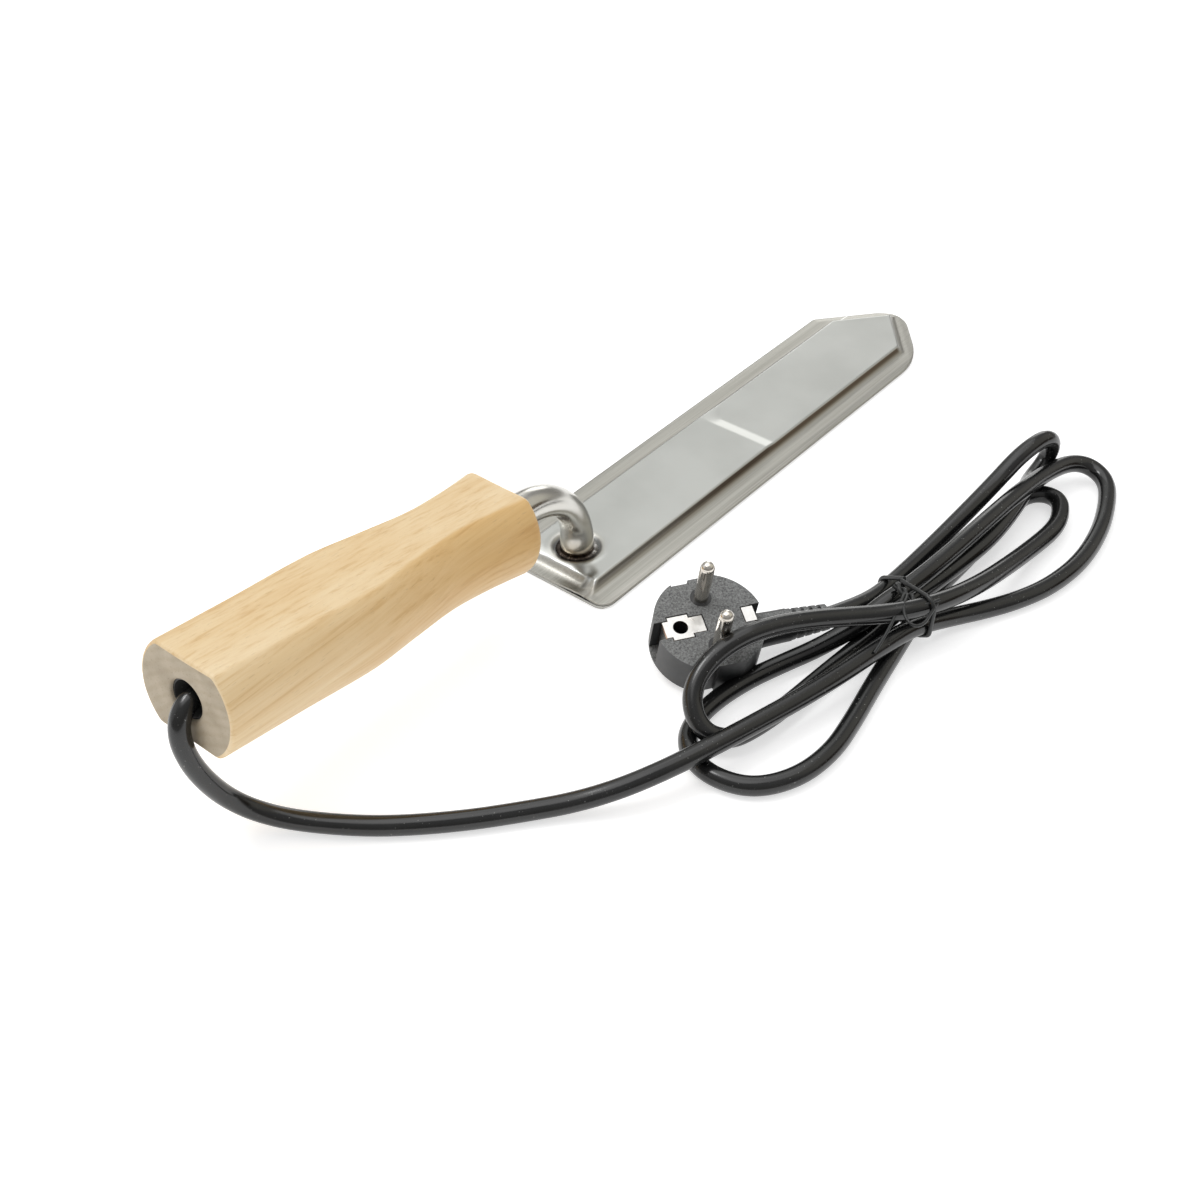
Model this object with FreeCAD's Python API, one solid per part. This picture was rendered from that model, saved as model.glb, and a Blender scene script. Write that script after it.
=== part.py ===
import FreeCAD, Part
import math
import os

# Electric uncapping knife: hollow heated blade, bent tube neck, bored wooden handle, mains lead and plug.
# Millimetres. +X runs along the blade to its tip, +Y is to the left of that, +Z is up.
# The blade lies flat on z = 0. The origin is near the middle of the knife itself, at its base.

V = FreeCAD.Vector
Z_AXIS = V(0, 0, 1)
# How far a cutting shape runs past what it cuts
MARGIN = 1.0

# Blade outline
REAR_X = -39.47
BLADE_LENGTH = 230.2
BLADE_WIDTH = 51.4
# The neck stands a little to one side of the blade's middle line
BLADE_MIDDLE_Y = -1.25
TIP_ANGLE = 40.0
TIP_APEX = 236.2
NOSE_R = 10.8
REAR_CORNER_R = 5.0
RIGHT_SHOULDER_R = 36.0
LEFT_SHOULDER_R = 2.5
# Blade sheets
BASE_T = 1.2
SHELL_T = 0.8
SHELL_INSET = 0.6
EDGE_GRIND_W = 2.0
EDGE_GRIND_H = 0.8
# Raised plateau, measured in from the blade's outline
PLATEAU_TOP = 5.2
FOOT_INSET = (6.9, 4.6, SHELL_INSET)
RIDGE_INSET = (9.6, 7.4, 7.0)
STEP_START = 110.3
STEP_LENGTH = 5.0
STEP_DROP = 0.6
DISH_R = 9.0
DISH_DEPTH = 0.8
# Neck tube
TUBE_R = 6.0
TUBE_WALL = 1.0
NECK_FOOT = 17.5
NECK_CORNER_Z = 34.7
NECK_BEND_R = 31.0
NECK_IN_HANDLE = 45.0
NECK_REACH = 40.0
# Heater, measured along the blade from its rear edge and across from its middle line
CARD_START = 52.0
CARD_END = 200.0
CARD_HALF_W = 14.5
MICA_T = 0.4
RIBBON_T = 0.25
RIBBON_W = 2.5
RIBBON_LEGS = (2.5, 7.5, 12.5)
RIBBON_NEAR_GAP = 4.0
RIBBON_FAR_GAP = 6.0
HEATER_TAG_L = 4.0
HEATER_TAG_HALF_W = 1.3
MICA_TAG_GAP = 2.0
# Thermostat
THERMOSTAT_START = 30.0
THERMOSTAT_END = 44.0
THERMOSTAT_HALF_W = 3.4
THERMOSTAT_GAP = 0.2
THERMOSTAT_EDGE_R = 1.0
THERMOSTAT_TAG_L = 3.0
THERMOSTAT_TAG_HALF_W = 1.0
# Handle
HANDLE_LENGTH = 131.0
HANDLE_PITCH = math.radians(6.5)
HANDLE_HALF_H = 14.6
BORE_R = 6.5
# Each station: distance from the butt as a share of the length, half width, half width of the flats
HANDLE_STATIONS = (
    (0.00, 19.4, 12.4),
    (0.22, 19.5, 12.8),
    (0.45, 19.7, 13.6),
    (0.60, 17.7, 11.4),
    (0.75, 15.9, 9.4),
    (0.88, 16.9, 10.1),
    (1.00, 19.0, 12.0),
)
# Wiring
WIRE_R = 0.75
WIRE_Y = 2.2
WIRE_IN = 1.0
WIRE_OUT = 2.2
WIRE_Z = 2.8
WIRE_TURN_R = 4.0
EARTH_TURN_R = 2.2
EARTH_LUG_X = NECK_FOOT + 9.0
EARTH_LUG_SOCKET_L = 3.0
EARTH_LUG_L = 3.3
EARTH_LUG_HALF_W = 1.1
EARTH_LUG_T = 0.6
CORE_R = 0.8
SPLICE_R = 1.6
CORD_D = 6.5
CORD_R = CORD_D / 2
# Distances along the handle's bore, from the butt
BUSH_START = 1.0
BUSH_LENGTH = 20.0
CORD_EXIT = 7.0
GRIP_START = 34.0
GRIP_LENGTH = 10.0
JACKET_END = 54.0
CORE_LENGTH = 8.0
SPLICE_LENGTH = 9.0
BUSH_MOUTH_RIM = 0.6
GRIP_CLEARANCE = 0.7
BOND_INNER_GAP = 2.0
BOND_OUTER_GAP = 1.0
# The lead leaves the bush straight along the bore for this far
EXIT_STRAIGHT = 4.4
# Plug, in its own frame: face centre at the origin, pins along +z, pins side by side along y
PLUG_FACE = V(-39.9, -70.7, 20.0)
PLUG_YAW = 146.0
PLUG_TILT = 17.0
PLUG_R = 18.4
PLUG_FLAT = 17.0
PLUG_DEPTH = 15.5
PLUG_CHAMFER = 1.0
PIN_R = 2.4
PIN_LENGTH = 19.0
PIN_SPACING = 19.0
PIN_TAIL_R = 1.9
PIN_TAIL_LENGTH = 7.0
COLLAR_W = 1.1
COLLAR_DEPTH = 2.5
COLLAR_RISE = 0.2
EARTH_HOLE_X = 10.0
EARTH_HOLE_R = 2.5
EARTH_HOLE_DEPTH = 14.4
# Earth clip: the socket plate with its cross arms, the outer contacts and the run that joins them inside
CLIP_T = 0.8
CLIP_TOP = -0.1
CLIP_OUTER_X = 15.4
CLIP_PLATE_X = 2.0
CLIP_PLATE_HALF_W = 3.0
CLIP_ARM_X = (6.6, 13.4)
CLIP_ARM_HALF_W = 4.3
CLIP_STRIP_HALF_W = 2.6
CLIP_CONTACT_Z = -13.0
CLIP_INNER_X = 5.6
CLIP_RUN_Z = -11.0
CLIP_RETURN_X = -11.6
CLIP_RETURN_HALF_W = 2.8
# Room round the clip, and how deep its plates are let into the face
CLIP_ROOM = 0.4
SEAT_DEPTH = 0.9
SLOT_X = 14.4
SLOT_HALF_W = 3.3
LONG_SLOT_DEPTH = 13.6
SHORT_SLOT_DEPTH = 6.0
RETURN_SEAT_X = (-14.6, -11.2)
RETURN_SEAT_HALF_W = 3.1
# Notches in the body's two sides
NOTCH_X = (2.2, 8.2)
NOTCH_Y = 15.8
# Bridge that holds the pins
BRIDGE_HALF_L = 13.0
BRIDGE_HALF_W = 4.6
BRIDGE_Z = (-8.5, -2.5)
NECK_DEPTH = 12.2
BOOT_START = 29.0
# Each station of the neck: distance from the plug's middle, width, height, corner radius
NECK_STATIONS = ((14.0, 13.0, 7.8, 3.6), (21.0, 11.8, 8.8, 4.2), (BOOT_START, 11.2, 10.0, 4.8))
BOOT_END = 43.0
BOOT_START_R = 5.4
BOOT_END_R = 4.4
BOOT_RINGS = 4
BOOT_RING_PITCH = 3.0
BOOT_RING_W = 1.3
BOOT_RING_DEPTH = 0.6
BOOT_RING_INSET = 2.2
# Hank of folded lead
HANK_LEAD_LENGTH = 10.0
BUNDLE_H = 20.0
LOOP_H = 7.2
LOOP_EDGE_R = 2.0
BRIDGING_RUN = (94.0, 8.4, 0.4)
FOLD_WIDTH = 11.0
WAIST_HALF_W = 5.0
# Wire tie round the hank's waist
TIE_R = 0.8
TIE_PLACE = (19.5, -110.0)
TIE_HALF_W = 16.0
TIE_CORNER_R = 4.0
TIE_TAIL_L = 14.0
CORD_RUN_SHARE = 0.45

AXIS = V(math.cos(HANDLE_PITCH), 0, -math.sin(HANDLE_PITCH))
AXIS_UP = V(math.sin(HANDLE_PITCH), 0, math.cos(HANDLE_PITCH))
FOOT_X = REAR_X + NECK_FOOT
CORNER = V(FOOT_X, 0, NECK_CORNER_Z)
BUTT = CORNER - AXIS * (NECK_REACH + HANDLE_LENGTH)
TUBE_FOOT_Z = PLATEAU_TOP - DISH_DEPTH - SHELL_T
CAVITY_TOP = PLATEAU_TOP - SHELL_T

nodes = {}


def fillet_path(points, radii):
    """Straight runs joined by tangent arcs, as one wire; radii has one value for each inner point."""
    edges = []
    start = points[0]
    for before, corner, after, radius in zip(points, points[1:], points[2:], radii):
        back = (before - corner).normalize()
        ahead = (after - corner).normalize()
        half = back.getAngle(ahead) / 2
        reach = radius / math.tan(half)
        first = corner + back * reach
        last = corner + ahead * reach
        bisector = (back + ahead).normalize()
        middle = corner + bisector * (radius / math.sin(half) - radius)
        if (first - start).Length > 1e-6:
            edges.append(Part.LineSegment(start, first).toShape())
        edges.append(Part.Arc(first, middle, last).toShape())
        start = last
    edges.append(Part.LineSegment(start, points[-1]).toShape())
    return Part.Wire(edges)


def polygon(points, radii, z=0.0):
    """Closed outline in the XY plane with every corner rounded; radii matches points."""
    corners = [V(x, y, z) for x, y in points]
    edges = []
    count = len(corners)
    arcs = []
    for i, corner in enumerate(corners):
        back = (corners[i - 1] - corner).normalize()
        ahead = (corners[(i + 1) % count] - corner).normalize()
        half = back.getAngle(ahead) / 2
        reach = radii[i] / math.tan(half)
        middle = corner + (back + ahead).normalize() * (radii[i] / math.sin(half) - radii[i])
        arcs.append((corner + back * reach, middle, corner + ahead * reach))
    for i, (first, middle, last) in enumerate(arcs):
        edges.append(Part.Arc(first, middle, last).toShape())
        edges.append(Part.LineSegment(last, arcs[(i + 1) % count][0]).toShape())
    return Part.Wire(edges)


def prism(wire, height):
    return Part.Face(wire).extrude(V(0, 0, height))


def rod(wire, radius):
    """Round solid swept along a wire of runs and tangent arcs."""
    first = wire.Edges[0]
    start = first.valueAt(first.FirstParameter)
    direction = first.tangentAt(first.FirstParameter)
    profile = Part.Wire(Part.Circle(start, direction, radius).toShape())
    return wire.makePipeShell([profile], True, False)


def box(x0, x1, y0, y1, z0, z1):
    return Part.makeBox(x1 - x0, y1 - y0, z1 - z0, V(x0, y0, z0))


def blade_box(x0, x1, y0, y1, z0, z1):
    """A box whose X is measured from the blade's rear edge."""
    return box(REAR_X + x0, REAR_X + x1, y0, y1, z0, z1)


def bore_point(distance, side=0.0, up=0.0):
    """A point in the handle's bore, measured along its axis from the butt."""
    return BUTT + AXIS * distance + V(0, side, 0) + AXIS_UP * up


def bore_cylinder(start, length, radius, side=0.0, up=0.0):
    return Part.makeCylinder(radius, length, bore_point(start, side, up), AXIS)


def blade_outline(side, tip, rear, z, radii):
    """The blade's outline moved in by side, tip and rear; radii: rear, right shoulder, nose, left shoulder."""
    slope = math.tan(math.radians(TIP_ANGLE))
    half = BLADE_WIDTH / 2 - side
    apex = TIP_APEX - tip / math.sin(math.radians(TIP_ANGLE))
    shoulder = apex - half / slope
    points = ((rear, -half), (shoulder, -half), (apex, 0), (shoulder, half), (rear, half))
    rear_r, right_r, nose_r, left_r = radii
    corners = [(REAR_X + x, BLADE_MIDDLE_Y + y) for x, y in points]
    return polygon(corners, (rear_r, right_r, nose_r, left_r, rear_r), z)


def make_blade_base():
    radii = (REAR_CORNER_R, RIGHT_SHOULDER_R, NOSE_R, LEFT_SHOULDER_R)
    plate = prism(blade_outline(0, 0, 0, 0, radii), BASE_T)
    for side in (1, -1):
        edge = BLADE_MIDDLE_Y + side * BLADE_WIDTH / 2
        inner = edge - side * EDGE_GRIND_W
        corners = (V(REAR_X - 1, edge, 0), V(REAR_X - 1, inner, 0), V(REAR_X - 1, edge, EDGE_GRIND_H))
        wedge = Part.Face(Part.makePolygon(corners + corners[:1])).extrude(V(BLADE_LENGTH + 2, 0, 0))
        plate = plate.cut(wedge)
    nodes["blade_base"] = plate


def plateau_solid(shrink, drop):
    """The raised part of the shell, made smaller all round by shrink and lower by drop."""
    foot = [inset + shrink for inset in FOOT_INSET]
    ridge = [inset + shrink for inset in RIDGE_INSET]
    low = blade_outline(*foot, BASE_T + SHELL_T - drop, (5.0, 5.0, 6.0, 3.0))
    high = blade_outline(*ridge, PLATEAU_TOP - drop, (4.0, 4.0, 4.5, 2.5))
    body = Part.makeLoft([low, high], True, True)
    top = PLATEAU_TOP - drop
    above = top + 2
    profile = [(STEP_START, top), (STEP_START + STEP_LENGTH, top - STEP_DROP)]
    profile += [(TIP_APEX, top - STEP_DROP), (TIP_APEX, above), (STEP_START, above)]
    points = [V(REAR_X + x, -BLADE_WIDTH, z) for x, z in profile]
    step = Part.Face(Part.makePolygon(points + points[:1])).extrude(V(0, 2 * BLADE_WIDTH, 0))
    dish = Part.makeCylinder(DISH_R + shrink, above, V(FOOT_X, 0, top - DISH_DEPTH))
    return body.cut(step).cut(dish)


def make_blade_shell():
    radii = (REAR_CORNER_R, RIGHT_SHOULDER_R, NOSE_R, LEFT_SHOULDER_R)
    flange = prism(blade_outline(SHELL_INSET, SHELL_INSET, SHELL_INSET, BASE_T, radii), SHELL_T)
    shell = flange.fuse(plateau_solid(0, 0)).cut(plateau_solid(SHELL_T, SHELL_T))
    shell = shell.cut(Part.makeCylinder(TUBE_R, PLATEAU_TOP, V(FOOT_X, 0, BASE_T)))
    nodes["blade_shell"] = shell.removeSplitter()


def neck_path(in_handle, foot_z, side=0.0, out=0.0):
    """The neck's centre line, or a line beside it: side is along Y, out is to the outside of the bend."""
    start = bore_point(HANDLE_LENGTH - in_handle, side, out)
    corner_lift = out / math.cos(HANDLE_PITCH) - out * math.tan(HANDLE_PITCH)
    corner = CORNER + V(out, side, corner_lift)
    return [start, corner, V(FOOT_X + out, side, foot_z)]


def make_neck():
    path = fillet_path(neck_path(NECK_IN_HANDLE, TUBE_FOOT_Z), [NECK_BEND_R])
    tube = rod(path, TUBE_R).cut(rod(path, TUBE_R - TUBE_WALL))
    nodes["gooseneck_tube"] = tube
    low = PLATEAU_TOP - DISH_DEPTH
    section = [(TUBE_R, low), (TUBE_R + 1.9, low), (TUBE_R + 1.3, low + 0.7), (TUBE_R, low + 1.3)]
    points = [V(FOOT_X + r, 0, z) for r, z in section]
    face = Part.Face(Part.makePolygon(points + points[:1]))
    nodes["neck_weld"] = face.revolve(V(FOOT_X, 0, 0), Z_AXIS, 360)


def make_heater():
    z = BASE_T
    nodes["mica_lower"] = blade_box(CARD_START, CARD_END, -CARD_HALF_W, CARD_HALF_W, z, z + MICA_T)
    z += MICA_T
    nodes["heater_card"] = blade_box(CARD_START, CARD_END, -CARD_HALF_W, CARD_HALF_W, z, z + MICA_T)
    z += MICA_T
    top = z + RIBBON_T
    tag_end = CARD_START + HEATER_TAG_L
    near = tag_end + RIBBON_NEAR_GAP
    far = CARD_END - RIBBON_FAR_GAP
    inner_far = far - RIBBON_FAR_GAP
    half = RIBBON_W / 2
    pieces = []
    for side in (1, -1):
        ends = ((tag_end, inner_far), (near, inner_far), (near, far))
        for leg, (x0, x1) in zip(RIBBON_LEGS, ends):
            y = side * leg
            pieces.append(blade_box(x0, x1, y - half, y + half, z, top))
        for x0, first, last in ((inner_far - RIBBON_W, 0, 1), (near, 1, 2)):
            y0 = RIBBON_LEGS[first] - half
            y1 = RIBBON_LEGS[last] + half
            low, high = sorted((side * y0, side * y1))
            pieces.append(blade_box(x0, x0 + RIBBON_W, low, high, z, top))
    reach = RIBBON_LEGS[-1] + half
    pieces.append(blade_box(far - RIBBON_W, far, -reach, reach, z, top))
    nodes["heater_ribbon"] = pieces[0].multiFuse(pieces[1:]).removeSplitter()
    upper_start = tag_end + MICA_TAG_GAP
    nodes["mica_upper"] = blade_box(upper_start, CARD_END, -CARD_HALF_W, CARD_HALF_W, top, top + MICA_T)
    w = HEATER_TAG_HALF_W
    tags = [blade_box(CARD_START, tag_end, y - w, y + w, z, WIRE_Z + WIRE_R) for y in (WIRE_Y, -WIRE_Y)]
    nodes["heater_terminals"] = Part.makeCompound(tags)


def make_thermostat():
    """The thermostat in the live wire; gives back where its first tag starts."""
    w = THERMOSTAT_HALF_W
    top = CAVITY_TOP - THERMOSTAT_GAP
    body = blade_box(THERMOSTAT_START, THERMOSTAT_END, -WIRE_Y - w, -WIRE_Y + w, BASE_T, top)
    uprights = [edge for edge in body.Edges if abs(edge.tangentAt(0).z) > 0.99]
    nodes["thermostat"] = body.makeFillet(THERMOSTAT_EDGE_R, uprights)
    first_tag = THERMOSTAT_START - THERMOSTAT_TAG_L
    last_tag = THERMOSTAT_END + THERMOSTAT_TAG_L
    w = THERMOSTAT_TAG_HALF_W
    solids = [blade_box(x0, x1, -WIRE_Y - w, -WIRE_Y + w, WIRE_Z - WIRE_R, WIRE_Z + WIRE_R)
              for x0, x1 in ((first_tag, THERMOSTAT_START), (THERMOSTAT_END, last_tag))]
    nodes["thermostat_terminals"] = Part.makeCompound(solids)
    link_start = V(REAR_X + last_tag, -WIRE_Y, WIRE_Z)
    nodes["link_wire"] = Part.makeCylinder(WIRE_R, CARD_START - last_tag, link_start, V(1, 0, 0))
    return first_tag


def make_wires(thermostat_x):
    """Three heat-resistant wires from the splices, through the neck, into the blade."""
    runs = (
        ("wire_live", -WIRE_Y, -WIRE_IN, WIRE_TURN_R, thermostat_x),
        ("wire_neutral", WIRE_Y, -WIRE_IN, WIRE_TURN_R, CARD_START),
        ("wire_earth", 0.0, WIRE_OUT, EARTH_TURN_R, EARTH_LUG_X),
    )
    in_handle = HANDLE_LENGTH - JACKET_END - CORE_LENGTH - SPLICE_LENGTH
    for name, side, out, turn_r, end_x in runs:
        points = neck_path(in_handle, WIRE_Z, side, out)
        points.append(V(REAR_X + end_x, side, WIRE_Z))
        nodes[name] = rod(fillet_path(points, [NECK_BEND_R + out, turn_r]), WIRE_R)
    w = EARTH_LUG_HALF_W
    socket_end = EARTH_LUG_X + EARTH_LUG_SOCKET_L
    lug = blade_box(EARTH_LUG_X, socket_end, -w, w, BASE_T, WIRE_Z + WIRE_R)
    lug = lug.fuse(blade_box(socket_end, EARTH_LUG_X + EARTH_LUG_L, -w, w, BASE_T, BASE_T + EARTH_LUG_T))
    nodes["earth_lug"] = lug.removeSplitter()
    places = ((-WIRE_Y, -WIRE_IN), (WIRE_Y, -WIRE_IN), (0.0, WIRE_OUT))
    splice = JACKET_END + CORE_LENGTH
    cores = [bore_cylinder(JACKET_END, CORE_LENGTH, CORE_R, side, up) for side, up in places]
    splices = [bore_cylinder(splice, SPLICE_LENGTH, SPLICE_R, side, up) for side, up in places]
    nodes["cord_cores"] = Part.makeCompound(cores)
    nodes["crimp_splices"] = Part.makeCompound(splices)


def handle_section(distance, half_width, half_flat):
    """Flat top and bottom with bulging sides, square to the handle's axis."""
    def at(side, up):
        return bore_point(distance, side, up)

    h = HANDLE_HALF_H
    edges = [
        Part.LineSegment(at(-half_flat, h), at(half_flat, h)).toShape(),
        Part.Arc(at(half_flat, h), at(half_width, 0), at(half_flat, -h)).toShape(),
        Part.LineSegment(at(half_flat, -h), at(-half_flat, -h)).toShape(),
        Part.Arc(at(-half_flat, -h), at(-half_width, 0), at(-half_flat, h)).toShape(),
    ]
    return Part.Wire(edges)


def make_handle():
    wires = [handle_section(share * HANDLE_LENGTH, w, flat) for share, w, flat in HANDLE_STATIONS]
    body = Part.makeLoft(wires, True, False)
    nodes["wooden_handle"] = body.cut(bore_cylinder(-MARGIN, HANDLE_LENGTH + 2 * MARGIN, BORE_R))
    bond_start = HANDLE_LENGTH - NECK_IN_HANDLE + BOND_INNER_GAP
    bond_length = NECK_IN_HANDLE - BOND_INNER_GAP - BOND_OUTER_GAP
    bond = bore_cylinder(bond_start, bond_length, BORE_R)
    nodes["tube_bond"] = bond.cut(bore_cylinder(bond_start - MARGIN, bond_length + 2 * MARGIN, TUBE_R))


def make_cord_entry():
    bush = bore_cylinder(BUSH_START, BUSH_LENGTH, BORE_R)
    bush = bush.cut(bore_cylinder(BUSH_START - MARGIN, BUSH_LENGTH + 2 * MARGIN, CORD_R))
    mouth_r = BORE_R - BUSH_MOUTH_RIM
    mouth = Part.makeCone(mouth_r, CORD_R, CORD_EXIT - BUSH_START, bore_point(BUSH_START), AXIS)
    nodes["cable_bush"] = bush.cut(mouth)
    nodes["cord_inlet"] = bore_cylinder(CORD_EXIT, JACKET_END - CORD_EXIT, CORD_R)
    grip = bore_cylinder(GRIP_START, GRIP_LENGTH, BORE_R - GRIP_CLEARANCE)
    nodes["cord_grip"] = grip.cut(bore_cylinder(GRIP_START - MARGIN, GRIP_LENGTH + 2 * MARGIN, CORD_R))


def cord_tube(name, points):
    """A tube along a free stretch of lead; every arc takes as much of its two runs as it can."""
    radii = []
    for before, corner, after in zip(points, points[1:], points[2:]):
        shorter = min((corner - before).Length, (after - corner).Length)
        turn = (corner - before).getAngle(after - corner)
        radii.append(CORD_RUN_SHARE * shorter / math.tan(turn / 2))
    path = fillet_path(points, radii)
    solid = rod(path, CORD_R)
    share = solid.Volume / (math.pi * CORD_R**2 * path.Length)
    print(name, "length %.1f" % path.Length, "volume / (section x length) %.4f" % share)
    print(name, "radii", " ".join("%.1f" % r for r in radii), "lowest %.2f" % solid.optimalBoundingBox().ZMin)
    nodes[name] = solid


# Where the lead meets the hank, and which way it runs there
HANK_ENTRY = V(-90, -95.5, 10)
HANK_HEADING = V(0.955, -0.296, 0).normalize()


def make_cord_lead():
    exit_point = bore_point(CORD_EXIT)
    route = [exit_point, exit_point - AXIS * EXIT_STRAIGHT]
    # Out of the butt and down to the surface
    route += [V(-193.5, -0.4, 52.1), V(-196.4, -1.1, 48.6), V(-197.3, -2.1, 42.2), V(-196.4, -3.0, 34.2)]
    route += [V(-193.2, -4.2, 25.2), V(-188.8, -5.7, 16.2), V(-183.3, -9.8, 9.1), V(-176.3, -17.5, 4.5)]
    # Along the surface, then up on to the folds
    route += [V(-166.5, -31.5, 3.4), V(-157, -43.5, 3.4), V(-143, -57.3, 3.4), V(-130, -68, 3.5)]
    route += [V(-118.5, -78, 4.9), V(-108.5, -86.4, 8), HANK_ENTRY - HANK_HEADING * 9.5, HANK_ENTRY]
    cord_tube("cord_lead", route)


def plug_place(shape):
    """Moves a shape from the plug's own frame to where the plug lies."""
    turn = FreeCAD.Rotation(Z_AXIS, PLUG_YAW).multiply(FreeCAD.Rotation(V(1, 0, 0), -PLUG_TILT))
    placed = shape.copy()
    placed.Placement = FreeCAD.Placement(PLUG_FACE, turn)
    return placed


def plug_point(x, y, z):
    turn = FreeCAD.Rotation(Z_AXIS, PLUG_YAW).multiply(FreeCAD.Rotation(V(1, 0, 0), -PLUG_TILT))
    return PLUG_FACE + turn.multVec(V(x, y, z))


def neck_section(x, width, height, radius):
    """Rounded rectangle square to the plug's cord axis."""
    outline = polygon([(-width / 2, -height / 2), (width / 2, -height / 2), (width / 2, height / 2),
                       (-width / 2, height / 2)], [radius] * 4)
    outline.rotate(V(0, 0, 0), V(1, 1, 1), 120)
    outline.translate(V(-x, 0, -NECK_DEPTH))
    return outline


def earth_clip_solid():
    """One bent strip: socket plate on the face, two side contacts, and the run inside that joins them."""
    top = CLIP_TOP
    low = top - CLIP_T
    outer = CLIP_OUTER_X
    plate = box(CLIP_PLATE_X, outer, -CLIP_PLATE_HALF_W, CLIP_PLATE_HALF_W, low, top)
    plate = plate.fuse(box(*CLIP_ARM_X, -CLIP_ARM_HALF_W, CLIP_ARM_HALF_W, low, top))
    hole = Part.makeCylinder(EARTH_HOLE_R, CLIP_T + 2 * MARGIN, V(EARTH_HOLE_X, 0, low - MARGIN))
    plate = plate.cut(hole)
    w = CLIP_STRIP_HALF_W
    pieces = [
        box(outer - CLIP_T, outer, -w, w, CLIP_CONTACT_Z, low),
        box(CLIP_INNER_X, CLIP_INNER_X + CLIP_T, -w, w, CLIP_RUN_Z, low),
        box(-outer, CLIP_INNER_X + CLIP_T, -w, w, CLIP_RUN_Z - CLIP_T, CLIP_RUN_Z),
        box(-outer, -outer + CLIP_T, -w, w, CLIP_RUN_Z, low),
        box(-outer, CLIP_RETURN_X, -CLIP_RETURN_HALF_W, CLIP_RETURN_HALF_W, low, top),
    ]
    return plate.multiFuse(pieces).removeSplitter()


def make_plug():
    straight = PLUG_DEPTH - PLUG_CHAMFER
    body = Part.makeCylinder(PLUG_R, straight, V(0, 0, -straight))
    back = Part.makeCone(PLUG_R - PLUG_CHAMFER, PLUG_R, PLUG_CHAMFER, V(0, 0, -PLUG_DEPTH))
    body = body.fuse(back).removeSplitter()
    body = body.common(box(-PLUG_R, PLUG_R, -PLUG_FLAT, PLUG_FLAT, -PLUG_DEPTH, 0))
    neck = Part.makeLoft([neck_section(*station) for station in NECK_STATIONS], True, False)
    body = body.fuse(neck)
    past = PLUG_R + MARGIN
    for side in (1, -1):
        y0, y1 = sorted((side * NOTCH_Y, side * past))
        body = body.cut(box(*NOTCH_X, y0, y1, -PLUG_DEPTH - MARGIN, MARGIN))
        seat = V(0, side * PIN_SPACING / 2, -COLLAR_DEPTH)
        body = body.cut(Part.makeCylinder(PIN_R + COLLAR_W, COLLAR_DEPTH, seat))
    # Slots for the side contacts, then the seats of the socket plate, its cross arms and the far contact
    body = body.cut(box(SLOT_X, past, -SLOT_HALF_W, SLOT_HALF_W, -LONG_SLOT_DEPTH, MARGIN))
    body = body.cut(box(-past, -SLOT_X, -SLOT_HALF_W, SLOT_HALF_W, -SHORT_SLOT_DEPTH, MARGIN))
    seats = (
        (CLIP_PLATE_X - CLIP_ROOM, SLOT_X, SLOT_HALF_W),
        (CLIP_ARM_X[0] - CLIP_ROOM, CLIP_ARM_X[1] + CLIP_ROOM, CLIP_ARM_HALF_W + CLIP_ROOM),
        (*RETURN_SEAT_X, RETURN_SEAT_HALF_W),
    )
    for x0, x1, half in seats:
        body = body.cut(box(x0, x1, -half, half, -SEAT_DEPTH, MARGIN))
    hole = Part.makeCylinder(EARTH_HOLE_R, EARTH_HOLE_DEPTH, V(EARTH_HOLE_X, 0, -EARTH_HOLE_DEPTH))
    body = body.cut(hole)
    clip = earth_clip_solid()
    bridge = box(-BRIDGE_HALF_W, BRIDGE_HALF_W, -BRIDGE_HALF_L, BRIDGE_HALF_L, *BRIDGE_Z)
    pins = []
    for side in (1, -1):
        y = side * PIN_SPACING / 2
        collar = Part.makeCylinder(PIN_R + COLLAR_W, COLLAR_DEPTH + COLLAR_RISE, V(0, y, -COLLAR_DEPTH))
        bridge = bridge.fuse(collar)
        tail = Part.makeCylinder(PIN_TAIL_R, PIN_TAIL_LENGTH + COLLAR_RISE, V(0, y, -PIN_TAIL_LENGTH))
        shank = Part.makeCylinder(PIN_R, PIN_LENGTH - PIN_R - COLLAR_RISE, V(0, y, COLLAR_RISE))
        dome = Part.makeSphere(PIN_R, V(0, y, PIN_LENGTH - PIN_R))
        pins.append(tail.fuse(shank).fuse(dome).removeSplitter())
    both_pins = Part.makeCompound(pins)
    bridge = bridge.removeSplitter().cut(both_pins)
    body = body.cut(clip).cut(bridge).cut(both_pins)
    boot_start = V(-BOOT_END, 0, -NECK_DEPTH)
    boot = Part.makeCone(BOOT_END_R, BOOT_START_R, BOOT_END - BOOT_START, boot_start, V(1, 0, 0))
    for i in range(BOOT_RINGS):
        place = boot_start + V(BOOT_RING_INSET + i * BOOT_RING_PITCH, 0, 0)
        ring = Part.makeCylinder(BOOT_START_R + MARGIN, BOOT_RING_W, place, V(1, 0, 0))
        core = Part.makeCylinder(BOOT_END_R - BOOT_RING_DEPTH, BOOT_RING_W, place, V(1, 0, 0))
        boot = boot.cut(ring.cut(core))
    nodes["plug_body"] = plug_place(body)
    nodes["plug_bridge"] = plug_place(bridge)
    nodes["plug_pins"] = plug_place(both_pins)
    nodes["plug_earth_clip"] = plug_place(clip)
    nodes["plug_boot"] = plug_place(boot)


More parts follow.
